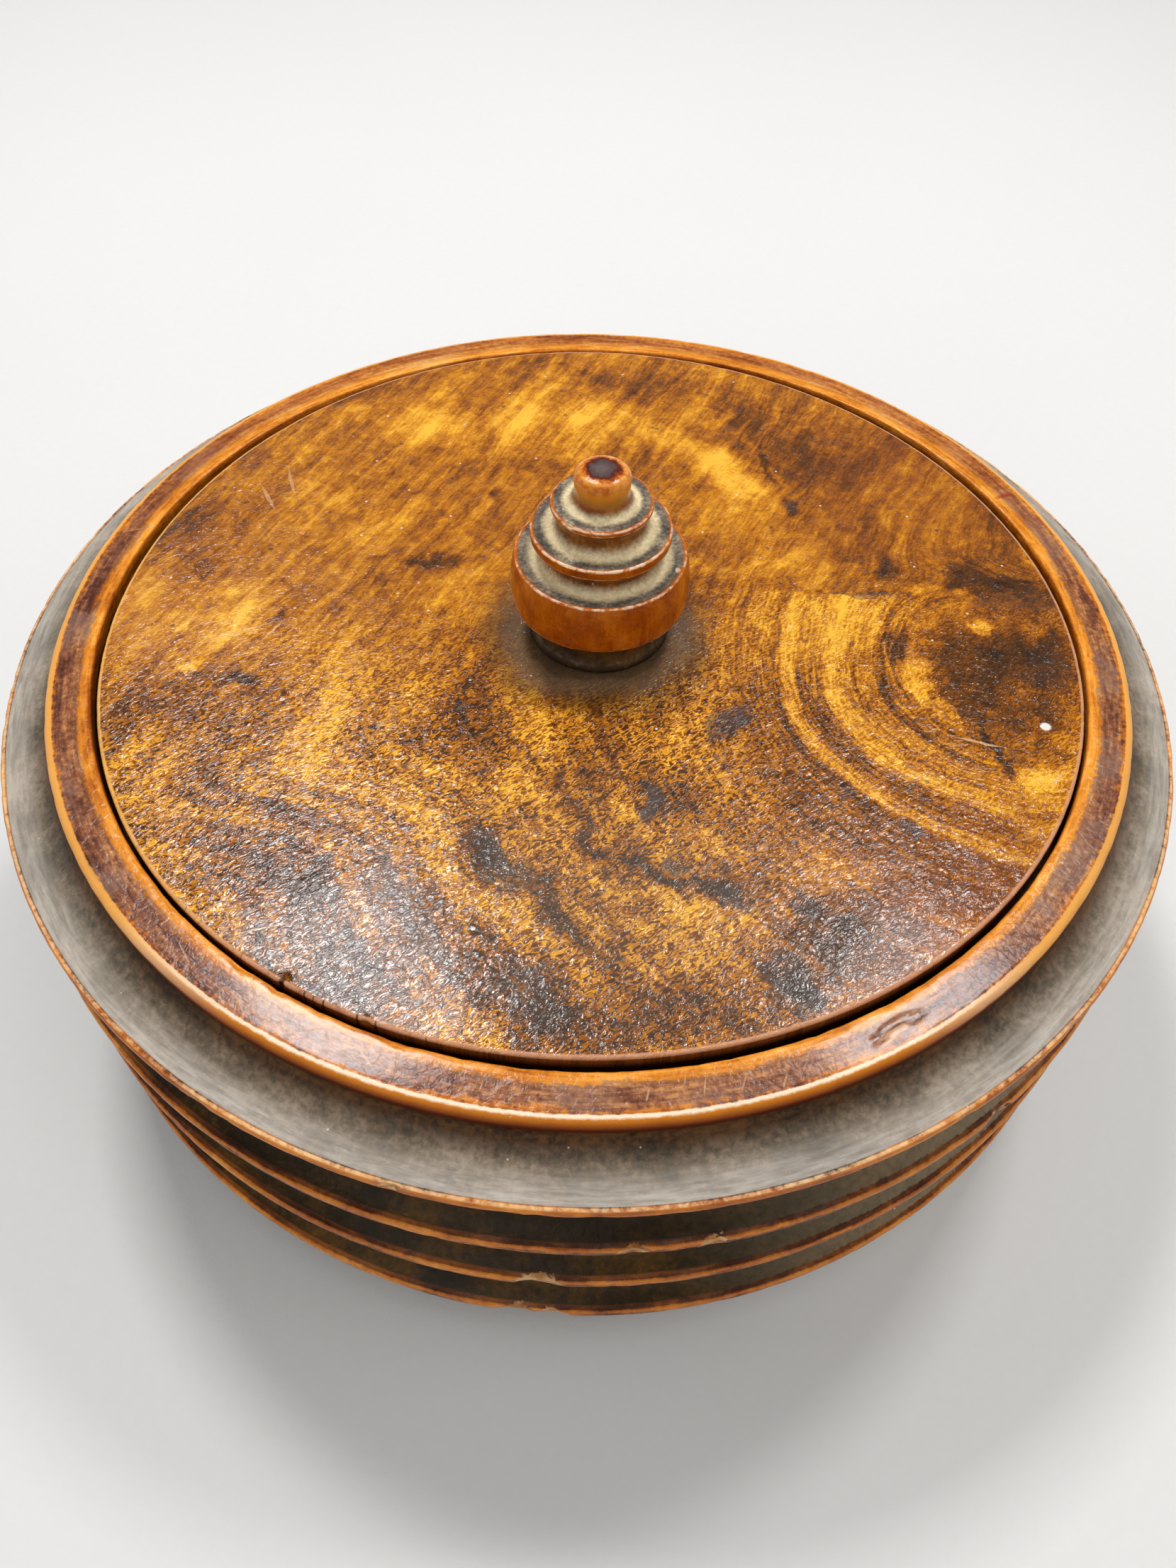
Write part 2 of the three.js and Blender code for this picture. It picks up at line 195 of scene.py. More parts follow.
# Nicks in the lid's edge, painted as dark shade: bearing, half-width and strength
LID_NICKS = (
    (241.2, 0.42, 0.9), (243.9, 0.14, 0.8), (244.9, 0.12, 0.7), (246.0, 0.16, 0.8), (249.6, 0.2, 0.8),
    (251.5, 0.16, 0.8), (256.5, 0.12, 0.7), (228.0, 0.1, 0.5), (236.2, 0.1, 0.5), (262.0, 0.1, 0.4))
# The knot, and its growth rings as shares of its reach with their tones
KNOT_PLACE = (53.0, -7.0)
KNOT_REACH = 40.0
KNOT_RINGS = (
    (0.0, 0.6), (0.34, 0.5), (0.392, 0.42), (0.408, 0.66), (0.422, 0.62), (0.44, 0.36), (0.475, 0.32),
    (0.49, 0.42), (0.51, 0.28), (0.53, 0.22), (0.55, 0.12), (0.58, 0.1), (0.595, 0.27), (0.62, 0.34),
    (0.66, 0.32), (0.672, 0.5), (0.685, 0.26), (0.70, 0.14), (0.72, 0.16), (0.73, 0.42), (0.745, 0.56),
    (0.77, 0.36), (0.82, 0.42), (0.845, 0.38), (0.86, 0.62), (0.88, 0.42), (1.0, 0.42))

# Direction of the lid's straight fibres, where their count starts, and the turn of its flecks in degrees
FIBRE_X = 0.41
FIBRE_Y = 0.91
FIBRE_START = 52.0
FLECK_TURN = 38
# Wax and dirt round the finial: where each ring starts and where it is full, and the rings' own middle
WAX_RING = (17.2, 12.4)
WAX_RING_PALE = (13.8, 10.4)
WAX_MIDDLE = (0.36, -1.82)

# Lamps: name, direction from the box, distance and side in m, and power in W
LAMPS = (
    ("window", (-0.185, 0.316, 0.702), 0.80, 0.145, 2.9),
    ("second_window", (0.25, 0.311, 0.713), 0.82, 0.13, 1.9),
    ("overhead", (0.25, -0.25, 0.95), 1.2, 0.7, 2.9),
    ("front_fill", (-0.3, -0.9, 0.6), 1.2, 0.7, 1.7),
    ("left_fill", (-0.9, 0.1, 0.45), 1.2, 0.5, 1.1),
    ("right_fill", (0.9, 0.0, 0.45), 1.2, 0.5, 1.1))
LAMP_AIM = (0.0, 0.0, 0.04)
SKY_LOW = 0.62
SKY_HIGH = 0.2

# Camera, fitted to the photograph: its place in m, its own axes, and its lens in mm
CAMERA_PLACE = (0.002064, -0.111092, 0.159130)
CAMERA_RIGHT = (0.99931206, 0.0291259, 0.02295857)
CAMERA_UP = (-0.03708658, 0.7848086, 0.61862756)
CAMERA_FORWARD = (0.0, 0.61905343, -0.78534887)
LENS_LENGTH = 26.814
LENS_SHIFT = -0.00997
SENSOR_WIDTH = 36.0


def tint(code):
    """A colour written as a web code, in the linear values that nodes use."""
    parts = [int(code[k:k + 2], 16) / 255 for k in (1, 3, 5)]
    return tuple(c / 12.92 if c <= 0.04045 else ((c + 0.055) / 1.055) ** 2.4 for c in parts) + (1.0,)


def placed(name, data):
    """A new object in the scene."""
    ob = bpy.data.objects.new(name, data)
    bpy.context.scene.collection.objects.link(ob)
    return ob


# Outlines
class Outline:
    """A turner's template: points of radius and height, with a dark mark for sootiness and painted shade and
    a dusty one.

    It is drawn from the axis below, outwards, up and back to the axis above, so the wood lies to
    the left of the line and a corner that turns left stands proud and gets worn.
    """

    def __init__(self, radius, height, pitch=0.5):
        self.points = [(radius, height)]
        self.marks = [(0.0, 0.0)]
        self.pitch = pitch
        self.mark = (0.0, 0.0)
        self.start = 1

    # the first mark is soot and painted shade, the second dust, which also carries painted sheen
    def soot_and_shade(self, soot_and_shade=0.0, dust=0.0):
        self.mark = (soot_and_shade, dust)
        return self

    def _add(self, r, z):
        self.points.append((r, z))
        self.marks.append(self.mark)

    def to(self, r, z, pitch=None):
        r0, z0 = self.points[-1]
        self.start = len(self.points)
        steps = max(1, round(math.hypot(r - r0, z - z0) / (pitch or self.pitch)))
        for k in range(1, steps + 1):
            self._add(r0 + (r - r0) * k / steps, z0 + (z - z0) * k / steps)
        return self

    def bow(self, r, z, rise, pitch=None):
        """An arc; with a positive rise it hollows the outside of a piece that is drawn upwards."""
        r0, z0 = self.points[-1]
        self.start = len(self.points)
        chord = math.hypot(r - r0, z - z0)
        along = ((r - r0) / chord, (z - z0) / chord)
        side = (-along[1] * math.copysign(1, rise), along[0] * math.copysign(1, rise))
        sweep = 2 * math.atan2(abs(rise), chord / 2)
        curve = chord / 2 / math.sin(sweep)
        sunk = abs(rise) - curve
        mid = ((r + r0) / 2 + side[0] * sunk, (z + z0) / 2 + side[1] * sunk)
        steps = max(3, round(2 * sweep * curve / (pitch or self.pitch)))
        for k in range(1, steps):
            a = sweep * (2 * k / steps - 1)
            self._add(mid[0] + curve * (side[0] * math.cos(a) + along[0] * math.sin(a)),
                      mid[1] + curve * (side[1] * math.cos(a) + along[1] * math.sin(a)))
        self._add(r, z)
        return self

    def quarter(self, r, z, out=1, pitch=0.16):
        """A quarter circle, proud when out is 1 and hollow when it is -1."""
        r0, z0 = self.points[-1]
        chord = math.hypot(r - r0, z - z0)
        return self.bow(r, z, -out * chord * (math.sqrt(2) - 1) / 2, pitch)

    def scoop(self, r, z, steps=22):
        """A quarter ellipse that leaves level and arrives upright."""
        r0, z0 = self.points[-1]
        for k in range(1, steps + 1):
            a = math.pi / 2 * k / steps
            self._add(r0 - (r0 - r) * math.sin(a), z - (z - z0) * math.cos(a))
        return self

    def fade(self, soot_and_shade, dust, end_soot_and_shade, end_dust):
        """Grades the marks over the last stretch, from where it starts to where it ends."""
        for k in range(self.start, len(self.marks)):
            t = (k - self.start) / max(1, len(self.marks) - 1 - self.start)
            self.marks[k] = (soot_and_shade + (end_soot_and_shade - soot_and_shade) * t, dust + (end_dust - dust) * t)
        return self

    def wear(self, reach, full_turn=0.9):
        """How far the outline turns within the reach of each point: proud corners come out near 1."""
        p = np.array(self.points)
        run = np.concatenate([[0], np.cumsum(np.hypot(*np.diff(p, axis=0).T))])
        behind, here, ahead = (
            np.stack([np.interp(run + d, run, p[:, k]) for k in (0, 1)], 1) for d in (-reach, 0, reach))
        a, b = here - behind, ahead - here
        turn = np.arctan2(a[:, 0] * b[:, 1] - a[:, 1] * b[:, 0], (a * b).sum(1))
        return np.clip(turn / full_turn, 0, 1)


def box_outline():
    p = Outline(0, FOOT_RECESS, 6)
    p.to(FOOT_RADIUS - FOOT_RING - FOOT_RECESS, FOOT_RECESS, 12).to(FOOT_RADIUS - FOOT_RING, 0, 0.8)
    p.to(FOOT_RADIUS - RIB_EASE, 0, 4).quarter(FOOT_RADIUS, RIB_EASE)
    p.soot_and_shade(0.8).to(FOOT_RADIUS, FOOT_HEIGHT, 0.7)
    hollow = COVE_DEPTH / 2
    for drop in RIB_DROPS:
        under = BOX_HEIGHT - drop
        # the hollows between the ribs take the dark mark: grime and painted shade
        p.soot_and_shade(1.0).bow(RIB_RADIUS - RIB_EASE, under, hollow, 0.9)
        p.soot_and_shade(0.4).quarter(RIB_RADIUS, under + RIB_EASE)
        p.soot_and_shade(0.0).to(RIB_RADIUS, under + RIB_LAND - RIB_EASE, 0.3)
        p.quarter(RIB_RADIUS - RIB_EASE, under + RIB_LAND)
        hollow = COVE_DEPTH
    # flange, dusty hollow with painted shade and sheen, and rim
    under = FLANGE_TOP - FLANGE_LAND
    p.soot_and_shade(1.0).bow(FLANGE_RADIUS - RIB_EASE, under, hollow, 0.9)
    p.soot_and_shade(0.0).quarter(FLANGE_RADIUS, under + RIB_EASE).to(FLANGE_RADIUS, FLANGE_TOP - RIB_EASE, 0.3)
    p.quarter(FLANGE_RADIUS - RIB_EASE, FLANGE_TOP)
    p.soot_and_shade(0.0, 1.0).scoop(RIM_OUTER, BOX_HEIGHT - RIM_SIDE)
    p.soot_and_shade(0.0).to(RIM_OUTER, BOX_HEIGHT - RIM_EDGE, 0.3)
    p.quarter(RIM_OUTER - RIM_EDGE, BOX_HEIGHT, 1, 0.22)
    p.soot_and_shade(0.35).to(RIM_INNER + RIM_INNER_EDGE, BOX_HEIGHT, 0.4)
    p.soot_and_shade(0.0).quarter(RIM_INNER, BOX_HEIGHT - RIM_INNER_EDGE, 1, 0.2)
    # rebate, bore and floor
    p.to(RIM_INNER, BOX_HEIGHT - 2.0, 0.4).soot_and_shade(0.9).to(RIM_INNER, SEAT_HEIGHT, 0.9)
    p.to(BORE_RADIUS + RIB_EASE, SEAT_HEIGHT, 0.7).to(BORE_RADIUS, SEAT_HEIGHT - RIB_EASE, 0.3)
    p.soot_and_shade(0.15).to(BORE_RADIUS, FLOOR_HEIGHT + FLOOR_FILLET, 2.2)
    p.quarter(BORE_RADIUS - FLOOR_FILLET, FLOOR_HEIGHT, -1, 0.8)
    return p.to(0, FLOOR_HEIGHT, 9)


def lid_outline():
    top = BOX_HEIGHT
    p = Outline(0, LID_BASE + LID_DISH, 8)
    p.to(LID_DISH_RADIUS - LID_DISH, LID_BASE + LID_DISH, 8).to(LID_DISH_RADIUS, LID_BASE, 0.5)
    p.to(LID_RADIUS - 0.5, LID_BASE, 3).to(LID_RADIUS, LID_BASE + 0.5, 0.3)
    # the side down in the gap takes the dark mark: painted shade
    p.soot_and_shade(1.0).to(LID_RADIUS, top - 2.2, 0.6)
    p.to(LID_RADIUS, top - LID_EDGE, 0.2).fade(1.0, 0.0, -0.5, 0.0)
    # the bead takes the dusty mark, not dust: its wear and a painted highlight
    p.soot_and_shade(0.0, 1.0).quarter(LID_RADIUS - LID_EDGE, top, 1, 0.1)
    p.soot_and_shade().to(LID_RADIUS - LID_EDGE - 0.15, top, 0.15).to(LID_RADIUS - 3.0, top, 0.35)
    return p.to(20, top, 2.4).to(0, top, 3.0)


def finial_outline():
    """Heights over the lid; the tiers' undercut hollows carry the dark mark, and a dusty one at the foot of
    each.
    """
    p = Outline(0, GLUE_LINE, 1.2)
    p.soot_and_shade(1.0).to(FINIAL_FOOT_RADIUS, GLUE_LINE, 0.6)
    p.to(FINIAL_FOOT_RADIUS - 0.2, FINIAL_FOOT_HEIGHT, 0.25)
    radius, height = BULB_UNDER
    p.bow(radius - 1.5, height - 0.7, FINIAL_WAIST, 0.25).fade(1.0, 0.1, 0.8, -0.4)
    p.soot_and_shade(0.45).to(radius - 0.3, height - 0.2, 0.2).soot_and_shade(0.0).to(radius, height, 0.12)
    radius, height = BULB_EDGE
    p.bow(radius, height - 0.35, -BULB_SWELL, 0.3).quarter(radius - 0.4, height, 1, 0.1)
    for radius, height, lip, neck, undercut in FINIAL_TIERS:
        ledge = p.points[-1][1] - 0.1
        p.soot_and_shade(1.0).to(neck + 1.4, ledge, 0.2).to(neck, ledge, 0.12).fade(1.0, -0.2, 0.9, 1.0)
        p.bow(radius - TIER_EDGE, height - lip - 0.1, undercut, 0.16).fade(0.9, 1.0, 0.7, -1.1)
        p.soot_and_shade(0.0).quarter(radius, height - lip + 0.2, 1, 0.1).to(radius, height - TIER_EDGE, 0.2)
        p.quarter(radius - TIER_EDGE, height, 1, 0.08)
    # the top ledge, then the cap with its dark top
    radius = CAP_FOOT[0]
    p.soot_and_shade(1.0).to(radius + 1.85, height + 0.03, 0.2)
    p.to(radius + 1.0, height + 0.05, 0.12).fade(1.0, 0.1, 0.8, 1.0)
    p.bow(*CAP_FOOT, 0.3, 0.16).fade(0.9, 1.0, 0.3, -0.6)
    flat = CAP_SHOULDER[0] - CAP_EDGE
    p.soot_and_shade(0.0).to(*CAP_SHOULDER, 0.2).quarter(flat, CAP_HEIGHT - 0.1, 1, 0.12)
    p.to(flat - 0.35, CAP_HEIGHT, 0.12)
    return p.soot_and_shade(1.0).to(flat - 0.6, CAP_HEIGHT, 0.12).to(0, CAP_HEIGHT, 0.45)


def press_outline():
    p = Outline(0, PRESS_BASE, 8)
    p.to(PRESS_RADIUS - FLOOR_FILLET, PRESS_BASE, 7)
    p.quarter(PRESS_RADIUS, PRESS_BASE + FLOOR_FILLET, 1, 0.5)
    p.to(PRESS_RADIUS, PRESS_TOP - PRESS_EDGE, 0.6).quarter(PRESS_RADIUS - PRESS_EDGE, PRESS_TOP, 1, 0.2)
    p.to(PRESS_RADIUS - 4, PRESS_TOP, 0.5).soot_and_shade(0.15).to(PRESS_KNOB_RADIUS + 2, PRESS_TOP, 3)
    return p.soot_and_shade(0.9).to(PRESS_KNOB_RADIUS - 1, PRESS_TOP, 0.5).to(0, PRESS_TOP, 2)


def press_knob_outline():
    base = PRESS_TOP + GLUE_LINE
    stem, middle = PRESS_KNOB_STEM
    flat, height = PRESS_KNOB_TOP
    p = Outline(0, base, 1)
    p.soot_and_shade(0.8).to(PRESS_KNOB_RADIUS, base, 0.8).to(PRESS_KNOB_RADIUS, base + PRESS_KNOB_FOOT, 0.2)
    p.soot_and_shade(0.7).bow(stem, PRESS_TOP + middle, PRESS_KNOB_WAIST, 0.3)
    p.soot_and_shade(0.0).bow(flat, PRESS_TOP + height, -PRESS_KNOB_SWELL, 0.3)
    return p.to(0, PRESS_TOP + height, 0.5)


# The lathe
class Bench:
    """Shared handwriting for node trees: sockets go in by name or place, plain values are set."""

    def __init__(self, tree):
        self.tree = tree

    def add(self, kind, ins=None, **props):
        node = self.tree.nodes.new(kind)
        for key, value in props.items():
            setattr(node, key, value)
        for key, value in (ins or {}).items():
            self.feed(node.inputs[key], value)
        return node

    def feed(self, socket, value):
        if isinstance(value, bpy.types.NodeSocket):
            self.tree.links.new(value, socket)
        elif value is not None:
            socket.default_value = value

    def calc(self, operation, a, b=None):
        return self.add("ShaderNodeMath", {0: a, 1: b}, operation=operation).outputs[0]

    def total(self, *values):
        return reduce(lambda a, b: self.calc("ADD", a, b), values)

    def minus(self, a, b):
        return self.calc("SUBTRACT", a, b)

    def times(self, *values):
        return reduce(lambda a, b: self.calc("MULTIPLY", a, b), values)

    def mixed(self, base, *parts):
        """Adds patterns to a base, each with its weight."""
        for value, weight in parts:
            node = self.add("ShaderNodeMath", {0: value, 1: weight, 2: base}, operation="MULTIPLY_ADD")
            base = node.outputs[0]
        return base

    def vector(self, operation, a, b=None, scale=None):
        ins = {0: a, 1: b}
        if scale is not None:
            ins["Scale"] = scale
        node = self.add("ShaderNodeVectorMath", ins, operation=operation)
        return node.outputs["Value" if operation in ("LENGTH", "DISTANCE") else "Vector"]

    def split(self, v):
        return self.add("ShaderNodeSeparateXYZ", {0: v}).outputs

    def join(self, x=0.0, y=0.0, z=0.0):
        return self.add("ShaderNodeCombineXYZ", {0: x, 1: y, 2: z}).outputs[0]

    def band(self, value, lo, hi, out_lo=0.0, out_hi=1.0, smooth=True):
        """Runs from one level to another while the value runs from lo to hi."""
        node = self.add("ShaderNodeMapRange", {0: value, 1: lo, 2: hi, 3: out_lo, 4: out_hi},
                        interpolation_type="SMOOTHSTEP" if smooth else "LINEAR")
        return node.outputs[0]

    def window(self, *ramps):
        """The product of some bands, each written as its value and levels."""
        return self.times(*(self.band(*ramp) for ramp in ramps))


def lathe_tree():
    """Spins the outline that it is given, as a line of points, round the upright axis."""
    tree = bpy.data.node_groups.new("lathe", "GeometryNodeTree")
    sockets = {}
    for name, kind in (("Outline", "Geometry"), ("Sides", "Int"), ("Lobe Depth", "Float"),
                       ("Lobe Bearing", "Float"), ("Lobe Radius", "Float"), ("Wear Depth", "Float"),
                       ("Wear Grain", "Float"), ("Seed", "Float"), ("Finish", "Material")):
        socket = tree.interface.new_socket(name, in_out="INPUT", socket_type="NodeSocket" + kind)
        sockets[name] = socket.identifier
    tree.interface.new_socket("Turning", in_out="OUTPUT", socket_type="NodeSocketGeometry")
    b = Bench(tree)
    given = b.add("NodeGroupInput").outputs
    size = b.add("GeometryNodeAttributeDomainSize", {0: given["Outline"]}, component="MESH")
    count = size.outputs["Point Count"]
    # a grid with a column for each side and a row for each point of the outline
    grid = b.add("GeometryNodeMeshGrid", {"Size X": 1.0, "Size Y": 1.0, "Vertices Y": count,
                                          "Vertices X": b.calc("ADD", given["Sides"], 1)})
    x, y, _ = b.split(b.add("GeometryNodeInputPosition").outputs[0])
    turn = b.times(b.calc("ADD", x, 0.5), 2 * math.pi)
    row = b.calc("ROUND", b.times(b.calc("ADD", y, 0.5), b.minus(count, 1)))

    def named(name):
        return b.add("GeometryNodeInputNamedAttribute", {"Name": name}, data_type="FLOAT").outputs[0]

    def from_outline(value, data_type):
        ins = {"Geometry": given["Outline"], "Value": value, "Index": row}
        return b.add("GeometryNodeSampleIndex", ins, data_type=data_type, domain="POINT").outputs[0]

    mesh = grid.outputs["Mesh"]
    for name in ("worn", "soot_and_shade", "dust"):
        ins = {"Geometry": mesh, "Name": name, "Value": from_outline(named(name), "FLOAT")}
        store = b.add("GeometryNodeStoreNamedAttribute", ins, data_type="FLOAT", domain="POINT")
        mesh = store.outputs["Geometry"]
    place = b.add("GeometryNodeInputPosition").outputs[0]
    radius, _, height = b.split(from_outline(place, "FLOAT_VECTOR"))
    # lobes, for a disc that has moved out of round
    share = b.calc("POWER", b.calc("DIVIDE", radius, given["Lobe Radius"]), 3.0)
    wave = b.calc("COSINE", b.times(b.minus(turn, given["Lobe Bearing"]), LOBES))
    far = b.calc("ADD", radius, b.times(share, given["Lobe Depth"], wave))
    spun = b.join(b.times(far, b.calc("COSINE", turn)), b.times(far, b.calc("SINE", turn)), height)
    shaped = b.add("GeometryNodeSetPosition", {"Geometry": mesh, "Position": spun}).outputs[0]
    closed = b.add("GeometryNodeMergeByDistance", {"Geometry": shaped, "Distance": 0.002 * MM}).outputs[0]

    # proud corners are rubbed and knocked away a little, never built up
    ins = {"Vector": place, "Scale": given["Wear Grain"], "W": given["Seed"], "Detail": 2.0}
    rough = b.add("ShaderNodeTexNoise", ins, noise_dimensions="4D").outputs[0]
    away = b.times(b.band(rough, 0.45, 0.8), named("worn"), given["Wear Depth"])
    normal = b.add("GeometryNodeInputNormal").outputs[0]
    offset = b.vector("SCALE", normal, scale=b.times(away, -1.0))
    rubbed = b.add("GeometryNodeSetPosition", {"Geometry": closed, "Offset": offset}).outputs[0]
    smooth = b.add("GeometryNodeSetShadeSmooth", {"Geometry": rubbed}).outputs[0]
    real = b.add("GeometryNodeRealizeInstances", {"Geometry": smooth}).outputs[0]
    done = b.add("GeometryNodeSetMaterial", {"Geometry": real, "Material": given["Finish"]}).outputs[0]
    b.add("NodeGroupOutput", {0: done})
    return tree, sockets


LATHE, LATHE_SOCKETS = lathe_tree()


def turned(name, outline, finish, sides, wear, reach, at=(0.0, 0.0, 0.0), lobe=0.0):
    """Turns an outline into a plain mesh object that wears its finish.

    The wear is how deep proud corners are rubbed, in mm, how fine the rubbing is, and its seed. The
    reach is the length, in mm, over which a corner is felt.
    """
    line = bpy.data.meshes.new(name + "_outline")
    points = [(r * MM, 0.0, z * MM) for r, z in outline.points]
    line.from_pydata(points, [(k, k + 1) for k in range(len(points) - 1)], [])
    soot_and_shade, dust = np.array(outline.marks).T
    for key, values in (("worn", outline.wear(reach)), ("soot_and_shade", soot_and_shade), ("dust", dust)):
        line.attributes.new(key, "FLOAT", "POINT").data.foreach_set("value", values.astype(np.float32))
    drawn = placed(name + "_outline", line)
    mod = drawn.modifiers.new("lathe", "NODES")
    mod.node_group = LATHE
    depth, grain, seed = wear
    settings = {"Sides": sides, "Finish": finish, "Wear Depth": depth * MM, "Wear Grain": grain,
                "Seed": seed, "Lobe Depth": lobe * MM, "Lobe Radius": LID_RADIUS * MM,
                "Lobe Bearing": math.radians(LID_LOBE_BEARING)}
    for key, value in settings.items():
        mod[LATHE_SOCKETS[key]] = value
    dg = bpy.context.evaluated_depsgraph_get()
    result = drawn.evaluated_get(dg)
    mesh = bpy.data.meshes.new_from_object(result, preserve_all_data_layers=True, depsgraph=dg)
    mesh.name = name
    bpy.data.objects.remove(drawn)
    mesh.transform(Matrix.Translation([v * MM for v in at]))
    return placed(name, mesh)


def knock(ob, marks, axis=(0.0, 0.0), steep=1.35):
    """Presses dents and chips into a turning, each written as in the tables above.

    A dent is flat in its middle and runs out smoothly; a higher steep makes more of it flat.
    """
    mesh = ob.data
    n = len(mesh.vertices)
    co, normal = np.empty(n * 3), np.empty(n * 3)
    mesh.vertices.foreach_get("co", co)
    mesh.vertex_normals.foreach_get("vector", normal)
    co, normal = co.reshape(-1, 3) / MM, normal.reshape(-1, 3)
    x, y, height = co[:, 0] - axis[0], co[:, 1] - axis[1], co[:, 2] - BOX_HEIGHT
    bearing, radius = np.degrees(np.arctan2(y, x)), np.hypot(x, y)
    bare, depth = np.zeros(n), np.zeros(n)
    for angle, r, rise, around, across, deep, shows in marks:
        off = np.radians((bearing - angle + 180) % 360 - 180) * r
        away = np.sqrt((off / around) ** 2 + ((radius - r) ** 2 + (height - rise) ** 2) / across ** 2)
        fall = np.clip(steep - away * steep, 0, 1)
        fall = fall * fall * (3 - 2 * fall)
        depth = np.maximum(depth, fall * deep)
        bare = np.maximum(bare, fall * shows)
    co -= normal * depth[:, None]
    mesh.vertices.foreach_set("co", (co * MM).ravel())
    mesh.attributes.new("bare", "FLOAT", "POINT").data.foreach_set("value", bare.astype(np.float32))
    mesh.update()


# Finishes
class Finish(Bench):
    """One wood's material. Lengths inside it are millimetres in the object's own frame."""

    def __init__(self, name, at=(0.0, 0.0, 0.0), dims="3D", **shader):
        self.dims = dims
        self.material = bpy.data.materials.new(name)
        self.material.use_nodes = True
        super().__init__(self.material.node_tree)
        self.tree.nodes.clear()
        self.shader = self.add("ShaderNodeBsdfPrincipled")
        for key, value in shader.items():
            self.shader.inputs[key.replace("_", " ")].default_value = value
        self.add("ShaderNodeOutputMaterial", {"Surface": self.shader.outputs[0]})
        ins = {"Vector": self.add("ShaderNodeTexCoord").outputs["Object"],
               "Location": [-v for v in at], "Scale": (1 / MM,) * 3}
        self.place = self.add("ShaderNodeMapping", ins).outputs[0]
        self.x, self.y, self.z = self.split(self.place)

    def mark(self, name):
        return self.add("ShaderNodeAttribute", attribute_name=name).outputs["Fac"]

    def seeded(self, where, seed):
        """The same pattern from another place in the wood."""
        return self.vector("ADD", where, (seed * 13.7, seed * 7.3, seed * 3.1)) if seed else where

    def noise(self, where, scale, detail=3.0, rough=0.5, warp=0.0, seed=0.0):
        ins = {"Vector": self.seeded(where, seed), "Scale": scale, "Detail": detail,
               "Roughness": rough, "Distortion": warp}
        return self.add("ShaderNodeTexNoise", ins, noise_dimensions=self.dims).outputs[0]

    def about(self, *settings):
        """A noise taken about its middle, so that it darkens as much as it lightens."""
        return self.minus(self.noise(*settings), 0.5)

    def warped(self, where, scale, amount, seed=0.0, detail=2.0):
        ins = {"Vector": self.seeded(where, seed), "Scale": scale, "Detail": detail}
        node = self.add("ShaderNodeTexNoise", ins, noise_dimensions=self.dims)
        shift = self.vector("SUBTRACT", node.outputs["Color"], (0.5, 0.5, 0.5))
        return self.vector("ADD", where, self.vector("SCALE", shift, scale=amount))

    def stretched(self, where, scale, turn=0.0):
        """The place seen along turned axes, with a pattern so many times finer along each."""
        ins = {"Vector": where, "Scale": [1.0 / v for v in scale], "Rotation": (0, 0, math.radians(turn))}
        return self.add("ShaderNodeMapping", ins, vector_type="TEXTURE").outputs[0]

    def ringwise(self, length, fineness):
        """Coordinates for streaks that follow the turning: so long round the piece, so fine across."""
        flat = self.join(self.x, self.y, 0.0)
        around = self.vector("SCALE", self.vector("NORMALIZE", flat), scale=1.0 / length)
        rise = self.calc("ADD", self.vector("LENGTH", flat), self.z)
        return self.vector("ADD", around, self.join(0.0, 0.0, self.times(rise, fineness)))

    def spots(self, where, scale, size, seed=0.0, share=0.28):
        """Scattered round specks: 1 inside a speck."""
        node = self.add("ShaderNodeTexVoronoi", {"Vector": self.seeded(where, seed), "Scale": scale},
                        voronoi_dimensions=self.dims, feature="F1")
        pick = self.split(node.outputs["Color"])[0]
        near = self.band(node.outputs["Distance"], size, size * 0.55)
        return self.times(near, self.calc("LESS_THAN", pick, share))

    def patch(self, where, x, y, long, wide, turn=0.0, soft=1.0):
        """A soft ellipse: 1 at its middle, 0 at its edge; a low soft keeps it flat nearly to the edge."""
        ins = {"Vector": where, "Location": (x, y, 0), "Scale": (long, wide, 1e4),
               "Rotation": (0, 0, math.radians(turn))}
        local = self.add("ShaderNodeMapping", ins, vector_type="TEXTURE").outputs[0]
        ball = self.add("ShaderNodeTexGradient", {"Vector": local}, gradient_type="SPHERICAL")
        return self.band(ball.outputs["Fac"], 0.0, soft)

    def patched(self, base, where, table, weight=1.0, soft=1.0):
        """Adds each patch of a table to a base, at the patch's own strength."""
        for *place, strength in table:
            base = self.mixed(base, (self.patch(where, *place, soft), weight * strength))
        return base

    def colours(self, value, stops):
        ramp = self.add("ShaderNodeValToRGB", {0: value})
        elements = ramp.color_ramp.elements
        while len(elements) < len(stops):
            elements.new(1.0)
        for element, (at, colour) in zip(elements, stops):
            element.position = at
            element.color = tint(colour) if isinstance(colour, str) else (colour, colour, colour, 1.0)
        return ramp.outputs[0]

    def blend(self, amount, a, b):
        node = self.add("ShaderNodeMix", data_type="RGBA", blend_type="MIX")
        for k, v in ((0, amount), (6, a), (7, b)):
            self.feed(node.inputs[k], tint(v) if isinstance(v, str) else v)
        return node.outputs[2]

    def over(self, colour, top, *shares):
        """Lays another colour over one, as strongly as its shares multiplied."""
        return self.blend(self.times(*shares), colour, top)

    def lerp(self, amount, a, b):
        node = self.add("ShaderNodeMix", data_type="FLOAT")
        for k, v in ((0, amount), (2, a), (3, b)):
            self.feed(node.inputs[k], v)
        return node.outputs[0]

    def finish(self, colour, roughness, bumps):
        """Wires up the shader; each bump is a height and its distance in mm."""
        self.feed(self.shader.inputs["Base Color"], colour)
        self.feed(self.shader.inputs["Roughness"], roughness)
        normal = None
        for height, distance in bumps:
            ins = {"Height": height, "Distance": distance * MM, "Strength": 1.0, "Normal": normal}
            normal = self.add("ShaderNodeBump", ins).outputs[0]
        self.feed(self.shader.inputs["Normal"], normal)
        return self.material


